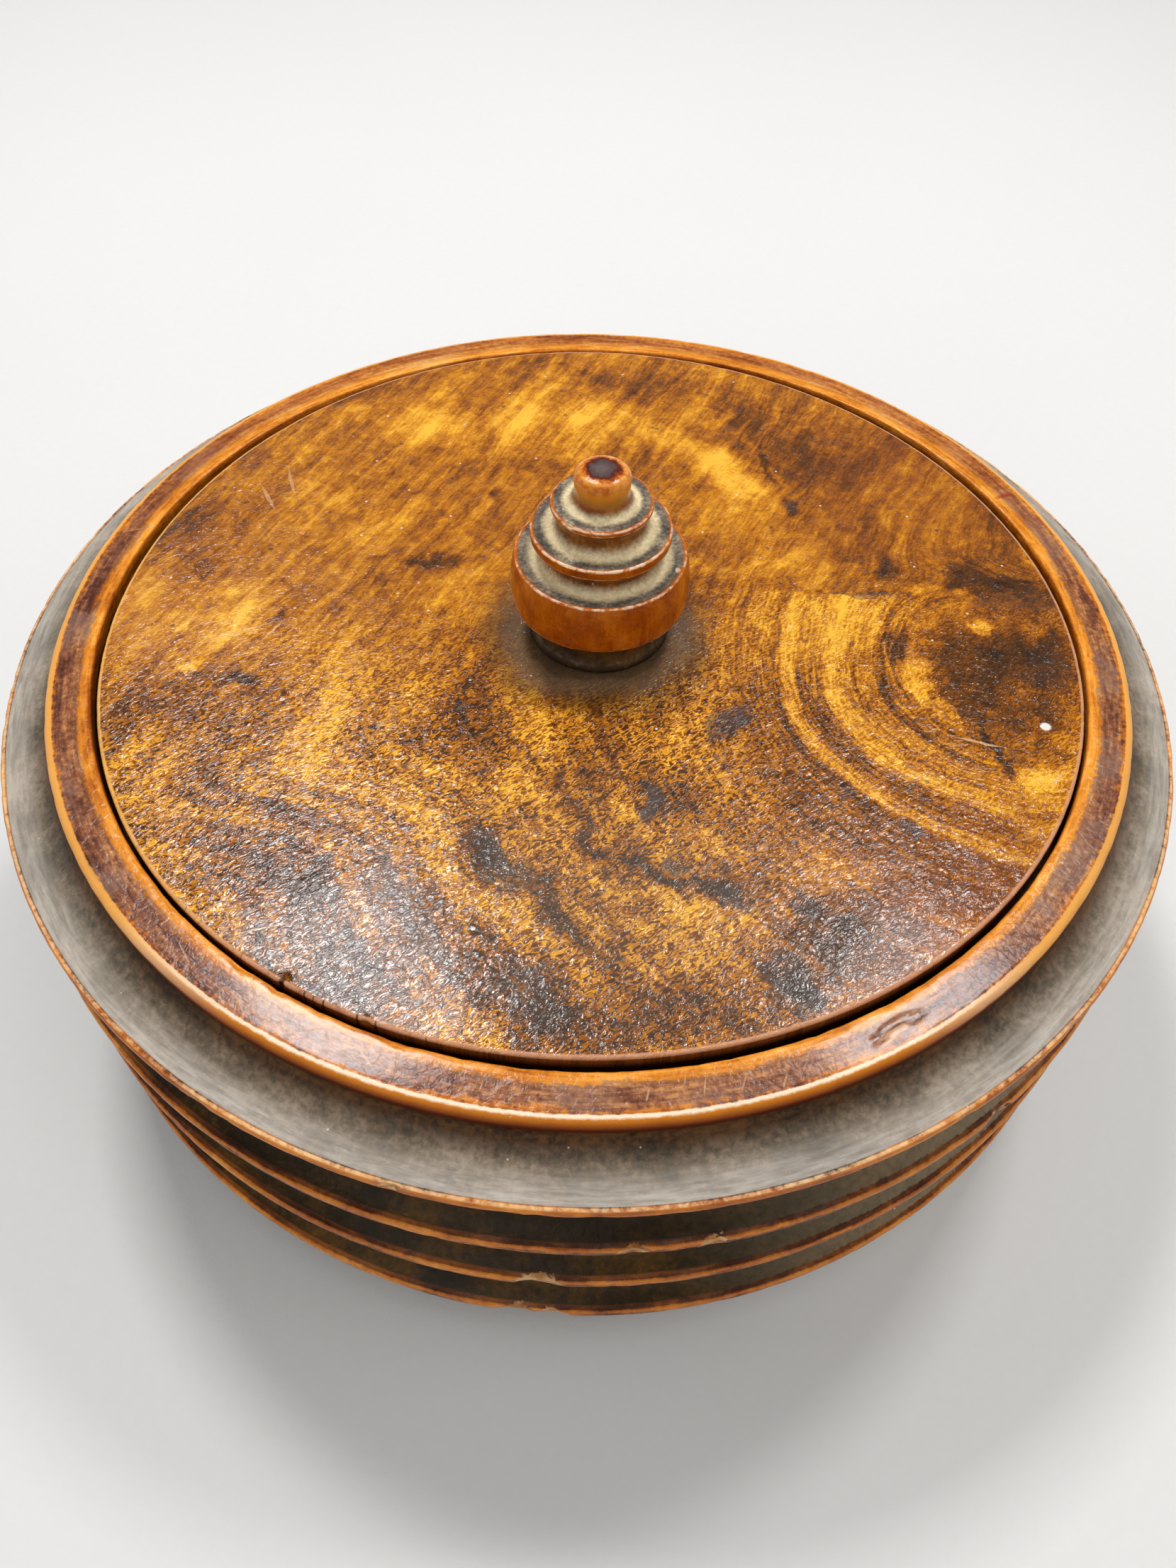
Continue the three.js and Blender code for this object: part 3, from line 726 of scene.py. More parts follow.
# The lid
def lid_patterns(f):
    """The lid's figure: fibres, lines along them, short squirming flecks, clouds and mottling."""
    g = SimpleNamespace(flat=f.join(f.x, f.y, 0.0))
    bent = f.warped(f.warped(g.flat, 0.035, 4.0, 3.0), 0.2, 0.9, 8.0)
    g.knot = f.vector("DISTANCE", bent, KNOT_PLACE + (0.0,))
    g.bx, g.by, _ = f.split(bent)
    # fibres: rings round the knot, straightening towards the back and the left
    slope = f.total(f.times(g.bx, -FIBRE_Y), f.times(g.by, FIBRE_X), FIBRE_START)
    leftward = f.band(f.minus(g.by, f.times(g.bx, 0.5)), -26.0, -4.0)
    left = f.times(f.band(g.knot, 45.0, 80.0), leftward)
    across = f.lerp(f.calc("MAXIMUM", f.band(g.by, 6.0, 16.0), left), g.knot, slope)
    along = f.total(f.times(g.bx, FIBRE_X), f.times(g.by, FIBRE_Y))
    fibre = f.join(across, f.times(along, 0.11), 0)
    g.streak = f.about(fibre, 0.45, 5, 0.6, 0.3, 1)
    g.lines = f.about(fibre, 2.3, 3, 0.6, 0.1, 5)
    squirm = f.about(f.stretched(g.flat, (0.8, 1.9, 1.0), FLECK_TURN), 1.2, 1.0, 0.5, 1.5, 2)
    g.worms = f.total(f.band(squirm, -0.11, 0.11, -0.25, 0.25), f.times(squirm, 0.5))
    g.away = f.band(g.knot, 9.0, 15.0)
    g.cloud = f.about(g.flat, 0.07, 6, 0.6, 0.5, 11)
    g.mottle = f.about(g.flat, 0.5, 4, 0.6, 0.5, 4)
    g.ragged = f.warped(f.warped(g.flat, 0.13, 6.0, 21.0, 4.0), 0.7, 1.5, 5.0)
    return g


def ring_tone(f, g):
    """Growth rings round the knot, a little paler towards the back."""
    reach = f.total(g.knot, f.times(f.band(g.by, 0.0, -26.0), -0.9))
    rings = f.colours(f.calc("DIVIDE", reach, KNOT_REACH), KNOT_RINGS)
    shaded = f.band(g.by, -4.0, -16.0)
    between = f.times(shaded, f.band(g.knot, 23.2, 24.6), f.band(g.knot, 27.9, 26.8), 0.24)
    outside = f.times(shaded, f.band(g.knot, 29.0, 30.2), 0.14)
    figure = f.mixed(0.0, (g.lines, 0.55), (g.mottle, 0.4), (g.worms, 0.3), (g.cloud, 0.3))
    return f.total(figure, rings, between, outside, f.band(g.by, -10.0, 2.0, 0.04, -0.12))


def lid_tone(f, g):
    """The wood's tone, from 0, golden, to 1, nearly black."""
    tone = f.mixed(0.41, (g.cloud, 0.64), (g.mottle, 0.45), (f.times(g.streak, g.away), 0.75))
    tone = f.patched(tone, g.ragged, LID_STAINS)
    tone = f.patched(tone, g.ragged, LID_GLOWS, -1.0)
    # the growth rings show outside the knot's heart, as far back as the dark seam
    within = f.window((g.knot, 37.0, 33.0), (g.knot, 13.5, 15.5), (g.by, 6.4, 5.2), (g.bx, 52.0, 47.0))
    tone = f.lerp(f.times(within, 0.9), tone, ring_tone(f, g))
    # the heart of the knot: dark and smooth, with gold crystals on its left
    tone = f.patched(tone, g.ragged, KNOT_HEART, soft=0.6)
    # the flecks are strongest in the front half
    front = f.band(f.minus(f.y, f.times(f.x, 0.2)), 14.0, -22.0)
    near = f.mixed(0.2, (f.times(front, f.band(f.x, 34.0, 8.0, 0.4, 1.0)), 0.8))
    near = f.times(near, f.mixed(1.0, (within, -0.6)))
    flecks = f.times(g.worms, near, f.band(tone, 0.9, 0.35, 0.44, 0.8))
    return f.total(tone, flecks, f.times(g.lines, g.away, 0.36), f.times(near, 0.05))


def lid_stained(f, g, colour):
    """Reddish casts, cool bruises, a painted greyish reflection over the front, wax and dirt round the
    finial, and a dark line hugging its foot.
    """
    warm = f.total(f.patch(g.ragged, 48, 34, 34, 24, 50), f.patch(g.ragged, 44, -40, 22, 14, 40))
    colour = f.over(colour, "#8a4516", warm, 0.35)
    for *place, strength in LID_BRUISES:
        colour = f.over(colour, "#413a38", f.patch(g.ragged, *place, 0.6), strength)
    # painted reflection: a greyish haze over the front of the lid
    colour = f.over(colour, "#93806e", f.patch(g.ragged, 4, -44, 40, 26, -12), 0.2)
    foot = f.vector("DISTANCE", f.warped(g.flat, 0.16, 3.6, 14.0, 3.0), WAX_MIDDLE + (0.0,))
    colour = f.over(colour, "#5a3c22", f.band(foot, *WAX_RING), 0.62)
    colour = f.over(colour, "#7b6a58", f.band(foot, *WAX_RING_PALE), 0.55)
    return f.over(colour, "#40361f", f.band(foot, FINIAL_FOOT_RADIUS + 0.9, FINIAL_FOOT_RADIUS + 0.1), 0.5)


def lid_scratched(f, g, colour):
    """Pale scratches and specks, dark pits, one white dot and one small crater."""
    bare = 0.0
    shaky = f.warped(g.flat, 0.5, 0.5, 2.0)
    for *place, strength in LID_SCRATCHES:
        bare = f.calc("MAXIMUM", bare, f.times(f.patch(shaky, *place, 0.5), strength))
    colour = f.over(colour, "#dfae7c", bare, 0.7)
    g.specks = f.spots(g.flat, 0.17, 0.035, 2.0, 0.14)
    colour = f.over(colour, "#e9dcc8", g.specks, 0.85)
    g.pits = f.spots(g.flat, 0.13, 0.05, 9.0)
    colour = f.over(colour, "#33261d", g.pits, 0.6)
    g.dot = f.patch(g.flat, 55.6, -16.0, 0.8, 0.75, 0, 0.4)
    colour = f.over(colour, "#ece6da", g.dot)
    g.crater = f.patch(g.flat, -11.0, -47.5, 0.85, 0.75, 0, 0.4)
    colour = f.over(colour, "#2b221e", g.crater, 0.85)
    return f.over(colour, "#d9d0c0", f.patch(g.flat, -11.1, -47.4, 0.36, 0.3, 0, 0.5))


def lid_edged(f, g, colour):
    """The rounded edge, pinkish where the polish has gone and golden at the left as a painted highlight,
    painted shade down the gap and in the nicks, and the unpolished underside.
    """
    side = f.band(f.z, BOX_HEIGHT - 0.2, BOX_HEIGHT - 0.45)
    colour = f.over(colour, f.blend(f.band(g.mottle, -0.2, 0.2), "#6b3f1c", "#99602d"), side, 0.85)
    # the bead: pinkish wear, turning golden towards the left as a painted highlight
    bead_wear_and_highlight = f.blend(f.band(f.x, -30.0, -56.0), "#d69a74", "#f2b55e")
    colour = f.over(colour, bead_wear_and_highlight, f.mark("dust"), f.band(g.mottle, -0.3, 0.1, 0.5, 0.9))
    # painted shade down the lid's side in the gap
    colour = f.over(colour, "#20130a", f.mark("soot_and_shade"), 0.95)
    # the nicks are painted dark as the shade inside them, too fine for the mesh
    for bearing, wide, strength in LID_NICKS:
        angle = math.radians(bearing)
        x, y = (LID_RADIUS + 0.04) * math.cos(angle), (LID_RADIUS + 0.04) * math.sin(angle)
        colour = f.over(colour, "#22150d", f.patch(g.flat, x, y, 0.65, wide, bearing + 12, 0.5), strength)
    g.below = f.band(f.z, LID_BASE + 1.3, LID_BASE + 1.0)
    grain = f.total(0.5, f.times(g.streak, 1.2), f.times(g.lines, 0.5))
    return f.over(colour, f.blend(grain, "#a06a36", "#5d3819"), g.below)


def lid_finish():
    """Figured lid: fibres bend round a knot at the right, with bruised, stained and golden patches."""
    f = Finish("lid_wood", dims="2D", Roughness=0.3, IOR=1.45, Specular_IOR_Level=0.4,
               Coat_Weight=0.06, Coat_Roughness=0.08)
    g = lid_patterns(f)
    colour = f.colours(lid_tone(f, g), [
        (0.0, "#f8bb3a"), (0.14, "#e8a226"), (0.33, "#c2770c"), (0.52, "#93500a"), (0.68, "#643608"),
        (0.84, "#44260b"), (1.0, "#2b1b10")])
    colour = lid_stained(f, g, colour)
    colour = lid_scratched(f, g, colour)
    colour = lid_edged(f, g, colour)
    gloss = f.total(f.mixed(0.13, (g.worms, 0.06), (g.mottle, 0.08)), f.times(g.below, 0.35))
    swell = f.noise(g.flat, 0.25, 2, 0.5, 0, 33)
    peel = f.noise(f.stretched(g.flat, (0.8, 1.5, 1.0), FLECK_TURN), 0.95, 2, 0.5, 0.8, 31)
    relief = f.mixed(0.0, (g.worms, 0.7), (g.pits, -1.5), (g.specks, 0.8), (g.dot, 1.5), (g.crater, -2.0))
    return f.finish(colour, gloss, [(swell, 0.10), (peel, 0.075), (relief, 0.036)])


# The box
def box_patterns(f):
    """Streaks that follow the turning, patches and freckles, and the marks that the outline carries."""
    g = SimpleNamespace(radius=f.vector("LENGTH", f.join(f.x, f.y, 0.0)))
    g.fine = f.about(f.ringwise(0.10, 1.4), 1.5, 4, 0.62, 0.25, 1)
    g.coarse = f.about(f.ringwise(0.3, 0.4), 1.0, 4, 0.62, 0.6, 2)
    g.patchy = f.about(f.place, 0.085, 4, 0.62, 0.4, 3)
    g.freckle = f.about(f.place, 1.3, 4, 0.62, 0.3, 4)
    g.worn, g.soot_and_shade, g.dust, g.bare = (f.mark(k) for k in ("worn", "soot_and_shade", "dust", "bare"))
    g.wood = f.mixed(0.5, (g.fine, 0.6), (g.coarse, 0.6), (g.patchy, 0.5), (g.freckle, 0.3))
    g.rubbed = f.colours(g.wood, [(0.28, "#7a3406"), (0.42, "#a9540c"), (0.56, "#cc7417"), (0.74, "#ec9a38")])
    g.outside = f.band(g.radius, RIM_OUTER - 2.4, RIM_OUTER - 0.4)
    return g


def box_worn(f, g):
    """Dark polish, rubbed to orange: full on the proudest line, broken up at the border of the wear, and pale
    on the proudest upper corners, as wear and a painted highlight.
    """
    polish = f.colours(g.wood, [(0.3, "#331a10"), (0.46, "#593018"), (0.58, "#84491f"), (0.75, "#a8622a")])
    upper = f.band(f.z, BOX_HEIGHT - FLANGE_DROP, BOX_HEIGHT - 1.5, 0.3, 1.0)
    edge = f.mixed(g.worn, (g.freckle, 0.5), (g.patchy, 1.2), (g.fine, 0.4), (g.soot_and_shade, -1.2),
                   (f.times(upper, g.worn), 0.3))
    g.rub = f.band(edge, 0.22, 0.6)
    colour = f.blend(g.rub, polish, g.rubbed)
    # the proudest upper corners turn pale: worn wood and a painted highlight
    proud = f.mixed(g.worn, (g.freckle, 0.6), (g.coarse, 0.5), (g.patchy, 0.6))
    return f.over(colour, "#f6c48a", f.times(f.band(proud, 0.6, 0.95), upper), 0.65)


def rim_side(f, g, colour):
    """The rim's outer side: orange at its top, darkening to red-brown below as painted shade."""
    g.rim_side = f.window((f.z, BOX_HEIGHT - 2.3, BOX_HEIGHT - RIM_SIDE),
                          (g.radius, RIM_OUTER - 0.85, RIM_OUTER - 0.6),
                          (g.radius, RIM_OUTER + 0.3, RIM_OUTER + 0.1))
    tone = f.colours(f.band(f.z, BOX_HEIGHT - 1.8, BOX_HEIGHT - 0.1, smooth=False),
                     [(0.0, "#3a1203"), (0.35, "#662403"), (0.65, "#9a4a0a"), (1.0, "#d07c1c")])
    return f.over(colour, tone, g.rim_side, f.band(g.freckle, -0.4, 0.1, 0.85, 1.0))


def rim_top(f, g, colour):
    """The rim's top: a dark band between two rubbed edges, weaker towards the back as a painted reflection.
    """
    g.on_rim = f.window((f.z, BOX_HEIGHT - 0.9, BOX_HEIGHT - 0.6),
                        (g.radius, RIM_INNER - 0.5, RIM_INNER + 0.1),
                        (g.radius, RIM_OUTER - 0.7, RIM_OUTER - 1.0))
    f.feed(f.shader.inputs["Coat Weight"], f.mixed(0.01, (g.on_rim, 0.18)))
    bright = f.colours(g.wood, [(0.28, "#a04d10"), (0.42, "#d27c1c"), (0.56, "#f09c33"), (0.74, "#ffc46c")])
    outer = f.band(g.radius, RIM_INNER + 1.7, RIM_INNER + 2.5)
    colour = f.over(colour, f.blend(outer, bright, g.rubbed), g.on_rim)
    ragged = f.mixed(g.radius, (g.coarse, 3.0), (g.freckle, 2.4), (g.fine, 0.8))
    # the dark band weakens towards the back: a painted reflection of the light there
    middle = f.window((ragged, RIM_INNER + 1.0, RIM_INNER + 1.7), (ragged, RIM_OUTER - 0.8, RIM_OUTER - 1.6),
                      (f.y, 5.0, 45.0, 1.0, 0.45))
    dark = f.colours(f.mixed(g.wood, (g.freckle, 0.3)),
                     [(0.30, "#44261f"), (0.44, "#6c3f2d"), (0.56, "#97603f"), (0.72, "#cf9259")])
    dark = f.over(dark, "#75605a", f.band(g.patchy, -0.02, 0.12), 0.6)
    return f.over(colour, dark, g.on_rim, middle, 0.92)


def rim_edges(f, g, colour):
    """The outer corner's painted highlight, a fine pale line in front and a wider golden one at the sides,
    and the wall.
    """
    facing = f.band(f.y, -46.0, -60.0)
    corner = f.mixed(g.radius, (g.freckle, 0.35), (g.fine, 0.2))
    # painted highlight along the rim's outer corner
    crest_highlight = f.times(f.band(corner, RIM_OUTER - 1.15, RIM_OUTER - 0.95),
                    f.band(f.z, BOX_HEIGHT - 0.95, BOX_HEIGHT - 0.6),
                    f.minus(1.0, f.times(facing, f.band(corner, RIM_OUTER - 0.8, RIM_OUTER - 0.5))),
                    f.band(g.coarse, -0.3, 0.1, 0.7, 1.0))
    colour = f.over(colour, f.blend(facing, "#eda850", "#ffe8c8"), crest_highlight)
    wall = f.window((g.radius, RIM_INNER + 0.3, RIM_INNER + 0.05), (f.z, BOX_HEIGHT - 2.4, BOX_HEIGHT - 1.2))
    return f.over(colour, g.rubbed, wall, 0.8)


def rim_marks(f, g, colour):
    """Ticks, the scar's creases and one red spot on the rim's top."""
    flat = f.join(f.x, f.y, 0.0)
    for *place, strength in RIM_TICKS:
        colour = f.over(colour, "#e2b488", f.patch(flat, *place, 0.5), g.on_rim, strength * 0.5)
    for place in RIM_CREASES:
        colour = f.over(colour, "#4a3020", f.patch(flat, *place, 0.5), g.on_rim, 0.7)
    red = f.patch(f.warped(flat, 0.8, 0.8, 4.0), 58.6, 28.6, 2.0, 0.7, 26, 0.7)
    return f.over(colour, "#96261a", red, g.on_rim, 0.7)


def box_proud(f, g, colour):
    """The flange's orange face under a painted highlight along its corner, and the ribs' rubbed faces."""
    face = f.window((g.radius, FLANGE_RADIUS - 0.5, FLANGE_RADIUS - 0.2),
                    (f.z, FLANGE_TOP - 1.5, FLANGE_TOP - 1.1),
                    (f.mixed(g.freckle, (g.patchy, 1.0)), -0.35, 0.05))
    colour = f.over(colour, g.rubbed, face, 0.75)
    # painted highlight: a pale line along the flange's top corner
    pale = f.window((f.z, FLANGE_TOP - 0.5, FLANGE_TOP - 0.25),
                    (g.radius, FLANGE_RADIUS - 0.65, FLANGE_RADIUS - 0.5),
                    (g.radius, FLANGE_RADIUS - 0.15, FLANGE_RADIUS - 0.3),
                    (f.mixed(g.freckle, (g.coarse, 0.8)), -0.25, 0.2))
    colour = f.over(colour, "#f4d2a0", pale, 0.75)
    ribs = f.window((g.radius, RIB_RADIUS - 0.28, RIB_RADIUS - 0.08),
                    (f.mixed(g.freckle, (g.coarse, 0.7), (g.patchy, 1.2)), -0.3, 0.2))
    return f.over(colour, g.rubbed, ribs, 0.7)


def box_grime(f, g, colour):
    """Dirt and painted shade in the hollows between the ribs, sharp against the rubbed rib, greying towards
    the right as a painted reflection.
    """
    # the dark mark in the hollows: olive grime darkened as painted shade
    g.grime = f.band(f.mixed(g.soot_and_shade, (g.freckle, 0.5), (g.fine, 0.4)), 0.38, 0.62)
    tone = f.mixed(0.48, (g.freckle, 0.35), (g.coarse, 0.5), (g.patchy, 0.6), (g.fine, 0.3))
    grime = f.colours(tone, [(0.3, "#181002"), (0.48, "#2e2005"), (0.62, "#533806"), (0.78, "#8c5610")])
    # painted reflection: the hollows grey towards the right
    grime = f.over(grime, "#9c8a6e", f.band(f.x, 8.0, 50.0), f.band(g.freckle, -0.4, 0.2, 0.5, 0.85))
    return f.over(colour, grime, g.grime, g.outside, 0.96)


def box_dust(f, g, colour):
    """Dusty satin hollow under the rim, with painted shade at its top, paler by the flange as dusty film and
    painted sheen, and faint streaks that follow the turning.
    """
    film = f.mixed(0.5, (g.fine, 0.15), (g.freckle, 0.65), (g.patchy, 0.7), (g.coarse, 0.1))
    shade = f.colours(film, [(0.3, "#5e5646"), (0.5, "#8f8573"), (0.7, "#c0b7a6")])
    rise = f.calc("DIVIDE", f.minus(f.z, FLANGE_TOP - 0.6), 4.2)
    rise = f.mixed(rise, (g.freckle, 0.12), (g.coarse, 0.15))
    low = f.colours(rise, [(0.0, 0.9), (0.12, 0.6), (0.3, 0.0)])
    high = f.colours(rise, [(0.1, 0.0), (0.34, 0.5), (0.6, 0.95), (1.0, 1.0)])
    # paler by the flange: dusty film and painted sheen
    shade = f.over(shade, f.blend(f.band(g.fine, -0.2, 0.2), "#b0a69c", "#e2dad0"), low)
    # painted shade at the top of the hollow, darkest just under the rim
    shade = f.over(shade, f.blend(f.band(film, 0.35, 0.65), "#241405", "#5e3a14"), high)
    shade = f.over(shade, "#552408", f.band(rise, 0.86, 1.02))
    dusty = f.band(f.mixed(g.dust, (g.freckle, 0.4)), 0.3, 0.7)
    return f.over(colour, shade, dusty, f.mixed(1.0, (g.rub, -0.9)), 0.96)


def box_bare(f, g, colour):
    """Chips that show bare wood, pale specks, the stained inside, and the scuffed underside."""
    chipped = f.window((f.mixed(g.bare, (g.freckle, 0.7)), 0.15, 0.3), (g.bare, 0.02, 0.12))
    splinter = f.noise(f.ringwise(0.05, 3.0), 1.0, 3, 0.6, 0.2, 7)
    fresh = f.colours(splinter, [(0.36, "#8a5524"), (0.47, "#bb8148"), (0.62, "#dfb888")])
    colour = f.over(colour, fresh, chipped)
    g.specks = f.spots(f.place, 0.33, 0.05, 2.0, 0.4)
    colour = f.over(colour, "#d9d2bf", g.specks, g.outside, 0.8)
    g.inside = f.window((g.radius, RIM_INNER + 0.05, RIM_INNER - 0.25),
                        (f.z, FLOOR_HEIGHT - 2.0, FLOOR_HEIGHT - 0.4))
    plank = f.noise(f.stretched(f.place, (0.10, 1.0, 0.75), -12), 0.8, 4, 0.6, 0.3, 6)
    stained = f.colours(plank, [(0.35, "#3a2413"), (0.52, "#5f3d20"), (0.7, "#85592f")])
    leaf = f.band(f.noise(f.place, 0.12, 4, 0.65, 0.8, 12), 0.5, 0.66)
    colour = f.over(colour, f.over(stained, "#2a1a0e", leaf, 0.55), g.inside)
    g.below = f.band(f.z, FOOT_RECESS + 0.2, FOOT_RECESS - 0.1)
    scuffed = f.colours(plank, [(0.35, "#5a3a20"), (0.52, "#8a6036"), (0.7, "#b08350")])
    return f.over(colour, scuffed, g.below, 0.8)


def box_finish():
    """Box: dark polish rubbed to orange on every proud edge, olive dirt and painted shade in the hollows."""
    f = Finish("box_wood", Roughness=0.38, IOR=1.42, Specular_IOR_Level=0.22, Coat_Roughness=0.1)
    g = box_patterns(f)
    colour = box_worn(f, g)
    for layer in (rim_side, rim_top, rim_edges, rim_marks, box_proud, box_grime, box_dust, box_bare):
        colour = layer(f, g, colour)
    gloss = f.mixed(0.30, (g.freckle, 0.15), (g.dust, 0.1), (g.on_rim, -0.09), (g.rim_side, 0.15))
    gloss = f.total(gloss, f.times(g.grime, g.outside, 0.04), f.times(g.inside, 0.25), f.times(g.below, 0.25))
    swell = f.noise(f.place, 0.25, 2, 0.5, 0, 31)
    peel = f.noise(f.place, 0.9, 2, 0.5, 0.8, 21)
    relief = f.mixed(0.0, (g.fine, 0.6), (g.freckle, 0.7), (g.specks, 0.8))
    return f.finish(colour, gloss, [(swell, 0.10), (peel, 0.09), (relief, 0.045)])


# The finial
def finial_dust_and_shading(f, g, colour):
    """Ledges that face up grey, as polish with painted sheen, the hollows darker brown, olive at the foot
    with painted contact shade at its bottom, and pale powder over it.
    """
    upward = f.split(f.add("ShaderNodeNewGeometry").outputs["Normal"])[2]
    # faces that look up take the grey: polish and painted sheen
    level = f.window((upward, 0.55, 0.85), (f.z, 5.0, 7.0))
    g.dark = f.band(f.mixed(g.soot_and_shade, (g.freckle, 0.5), (g.patchy, 0.4), (g.lip, -0.7)), 0.25, 0.7)
    polish = f.colours(f.mixed(0.5, (g.patchy, 1.0), (g.freckle, 0.9)),
                       [(0.25, "#3a3832"), (0.5, "#6b675c"), (0.75, "#a89c80")])
    brown = f.colours(f.mixed(g.wood, (g.patchy, 0.3)),
                      [(0.3, "#4a2002"), (0.5, "#7c460c"), (0.7, "#ac7428")])
    olive = f.colours(f.mixed(g.wood, (g.patchy, 0.4)),
                      [(0.3, "#1f1402"), (0.5, "#3e2805"), (0.7, "#624310")])
    g.low = f.band(f.z, 4.9, 3.4)
    colour = f.over(colour, f.blend(level, f.blend(g.low, brown, olive), polish), g.dark, 0.95)
    # painted contact shade where the finial stands on the lid
    colour = f.over(colour, "#2a1d0a", f.band(f.z, 1.2, 0.5))
    g.powder = f.times(f.band(f.mixed(g.dust, (g.freckle, 0.35), (g.blot, 0.5)), 0.0, 1.0),
                       f.mixed(0.82, (level, 0.1)))
    return f.over(colour, f.blend(f.band(g.freckle, -0.3, 0.3), "#e6c88e", "#fff0c8"), g.powder)


def finial_wear(f, g, colour):
    """Dark pores, broken pale wear with a painted highlight along the very edges, strongest in front, chips
    and pale crumbs.
    """
    pores = f.spots(f.stretched(f.place, (1, 1, 0.35)), 0.55, 0.13, 3.0)
    colour = f.over(colour, "#4a1d05", pores, f.minus(1.0, g.dark), 0.55)
    # the very edges: pale wear and a painted highlight, strongest in front
    before = f.band(f.y, 0.0, -7.0)
    edge = f.mixed(g.worn, (g.blot, 1.4), (g.freckle, 0.7), (before, 0.15))
    rim = f.window((edge, 0.85, 1.2), (f.z, 5.6, 6.4))
    colour = f.over(colour, "#fbe6c4", rim, f.mixed(0.5, (before, 0.2)))
    chip = f.blend(f.band(g.freckle, -0.2, 0.2), "#d9a566", "#f4dfbb")
    colour = f.over(colour, chip, f.band(f.mark("bare"), 0.1, 0.6))
    g.crumbs = f.spots(f.place, 0.8, 0.10, 7.0)
    return f.over(colour, "#eee6cf", g.crumbs, f.mixed(0.1, (g.soot_and_shade, 0.8)))


def finial_cap(f, g, colour):
    """The cap: orange shoulder round a wine-dark top with a ragged edge."""
    barrel = f.band(f.mixed(f.z, (g.freckle, 0.5)), CAP_HEIGHT - 3.4, CAP_HEIGHT - 2.9)
    upward = f.band(f.mixed(f.z, (g.blot, 1.0)), CAP_HEIGHT - 3.2, CAP_HEIGHT - 1.4)
    colour = f.over(colour, f.blend(upward, "#a06c26", "#dc8a28"), barrel)
    shoulder = f.band(f.mixed(f.z, (g.freckle, 0.8), (g.blot, 0.8)), CAP_HEIGHT - 1.7, CAP_HEIGHT - 0.9)
    colour = f.over(colour, f.blend(f.band(g.blot, -0.2, 0.2), "#bc5e0c", "#e8993a"), shoulder)
    ring = f.mixed(f.vector("LENGTH", f.join(f.x, f.y, 0.0)), (g.freckle, 1.2), (g.blot, 1.8))
    spot = f.colours(f.calc("DIVIDE", ring, 4.0), [
        (0.0, "#6a5b58"), (0.36, "#54403e"), (0.44, "#4a180c"), (0.52, "#8a330a"), (0.6, "#d0761c"),
        (0.74, "#f3b060")])
    return f.over(colour, spot, f.band(f.z, CAP_HEIGHT - 0.35, CAP_HEIGHT - 0.1))


def finial_finish(at):
    """Caramel wood, rubbed bright on the lips, grey on the ledges as polish with painted sheen, and dusty
    hollows.
    """
    f = Finish("finial_wood", at, Roughness=0.34, IOR=1.45, Specular_IOR_Level=0.3)
    g = SimpleNamespace()
    fibre = f.stretched(f.place, (1.0, 1.0, 0.09))
    fine = f.about(fibre, 2.2, 3, 0.6, 0.2, 1)
    coarse = f.about(fibre, 0.5, 3, 0.6, 0.4, 2)
    g.patchy = f.about(f.place, 0.3, 4, 0.6, 0.4, 3)
    g.freckle = f.about(f.place, 2.2, 4, 0.65, 0.0, 4)
    g.blot = f.about(f.place, 0.8, 3, 0.6, 0.5, 6)
    g.worn, g.soot_and_shade, g.dust = (f.mark(k) for k in ("worn", "soot_and_shade", "dust"))
    g.wood = f.mixed(0.5, (fine, 0.18), (coarse, 0.22), (g.patchy, 0.6), (g.freckle, 0.15))
    colour = f.colours(g.wood, [(0.3, "#7a3000"), (0.46, "#a24b02"), (0.6, "#c06708"), (0.78, "#de8a22")])
    g.lip = f.window((f.mixed(g.worn, (g.freckle, 0.5), (g.patchy, 0.5)), 0.3, 0.8), (f.z, 3.0, 5.0))
    colour = f.over(colour, "#c06312", g.lip, 0.75)
    for layer in (finial_dust_and_shading, finial_wear, finial_cap):
        colour = layer(f, g, colour)
    gloss = f.mixed(0.19, (g.freckle, 0.12), (g.powder, 0.45), (g.dark, 0.06), (g.low, 0.3))
    relief = f.mixed(0.0, (fine, 0.3), (g.freckle, 0.7), (g.crumbs, 1.0))
    return f.finish(colour, gloss, [(f.noise(f.place, 0.8, 2, 0.5, 0, 31), 0.12), (relief, 0.03)])


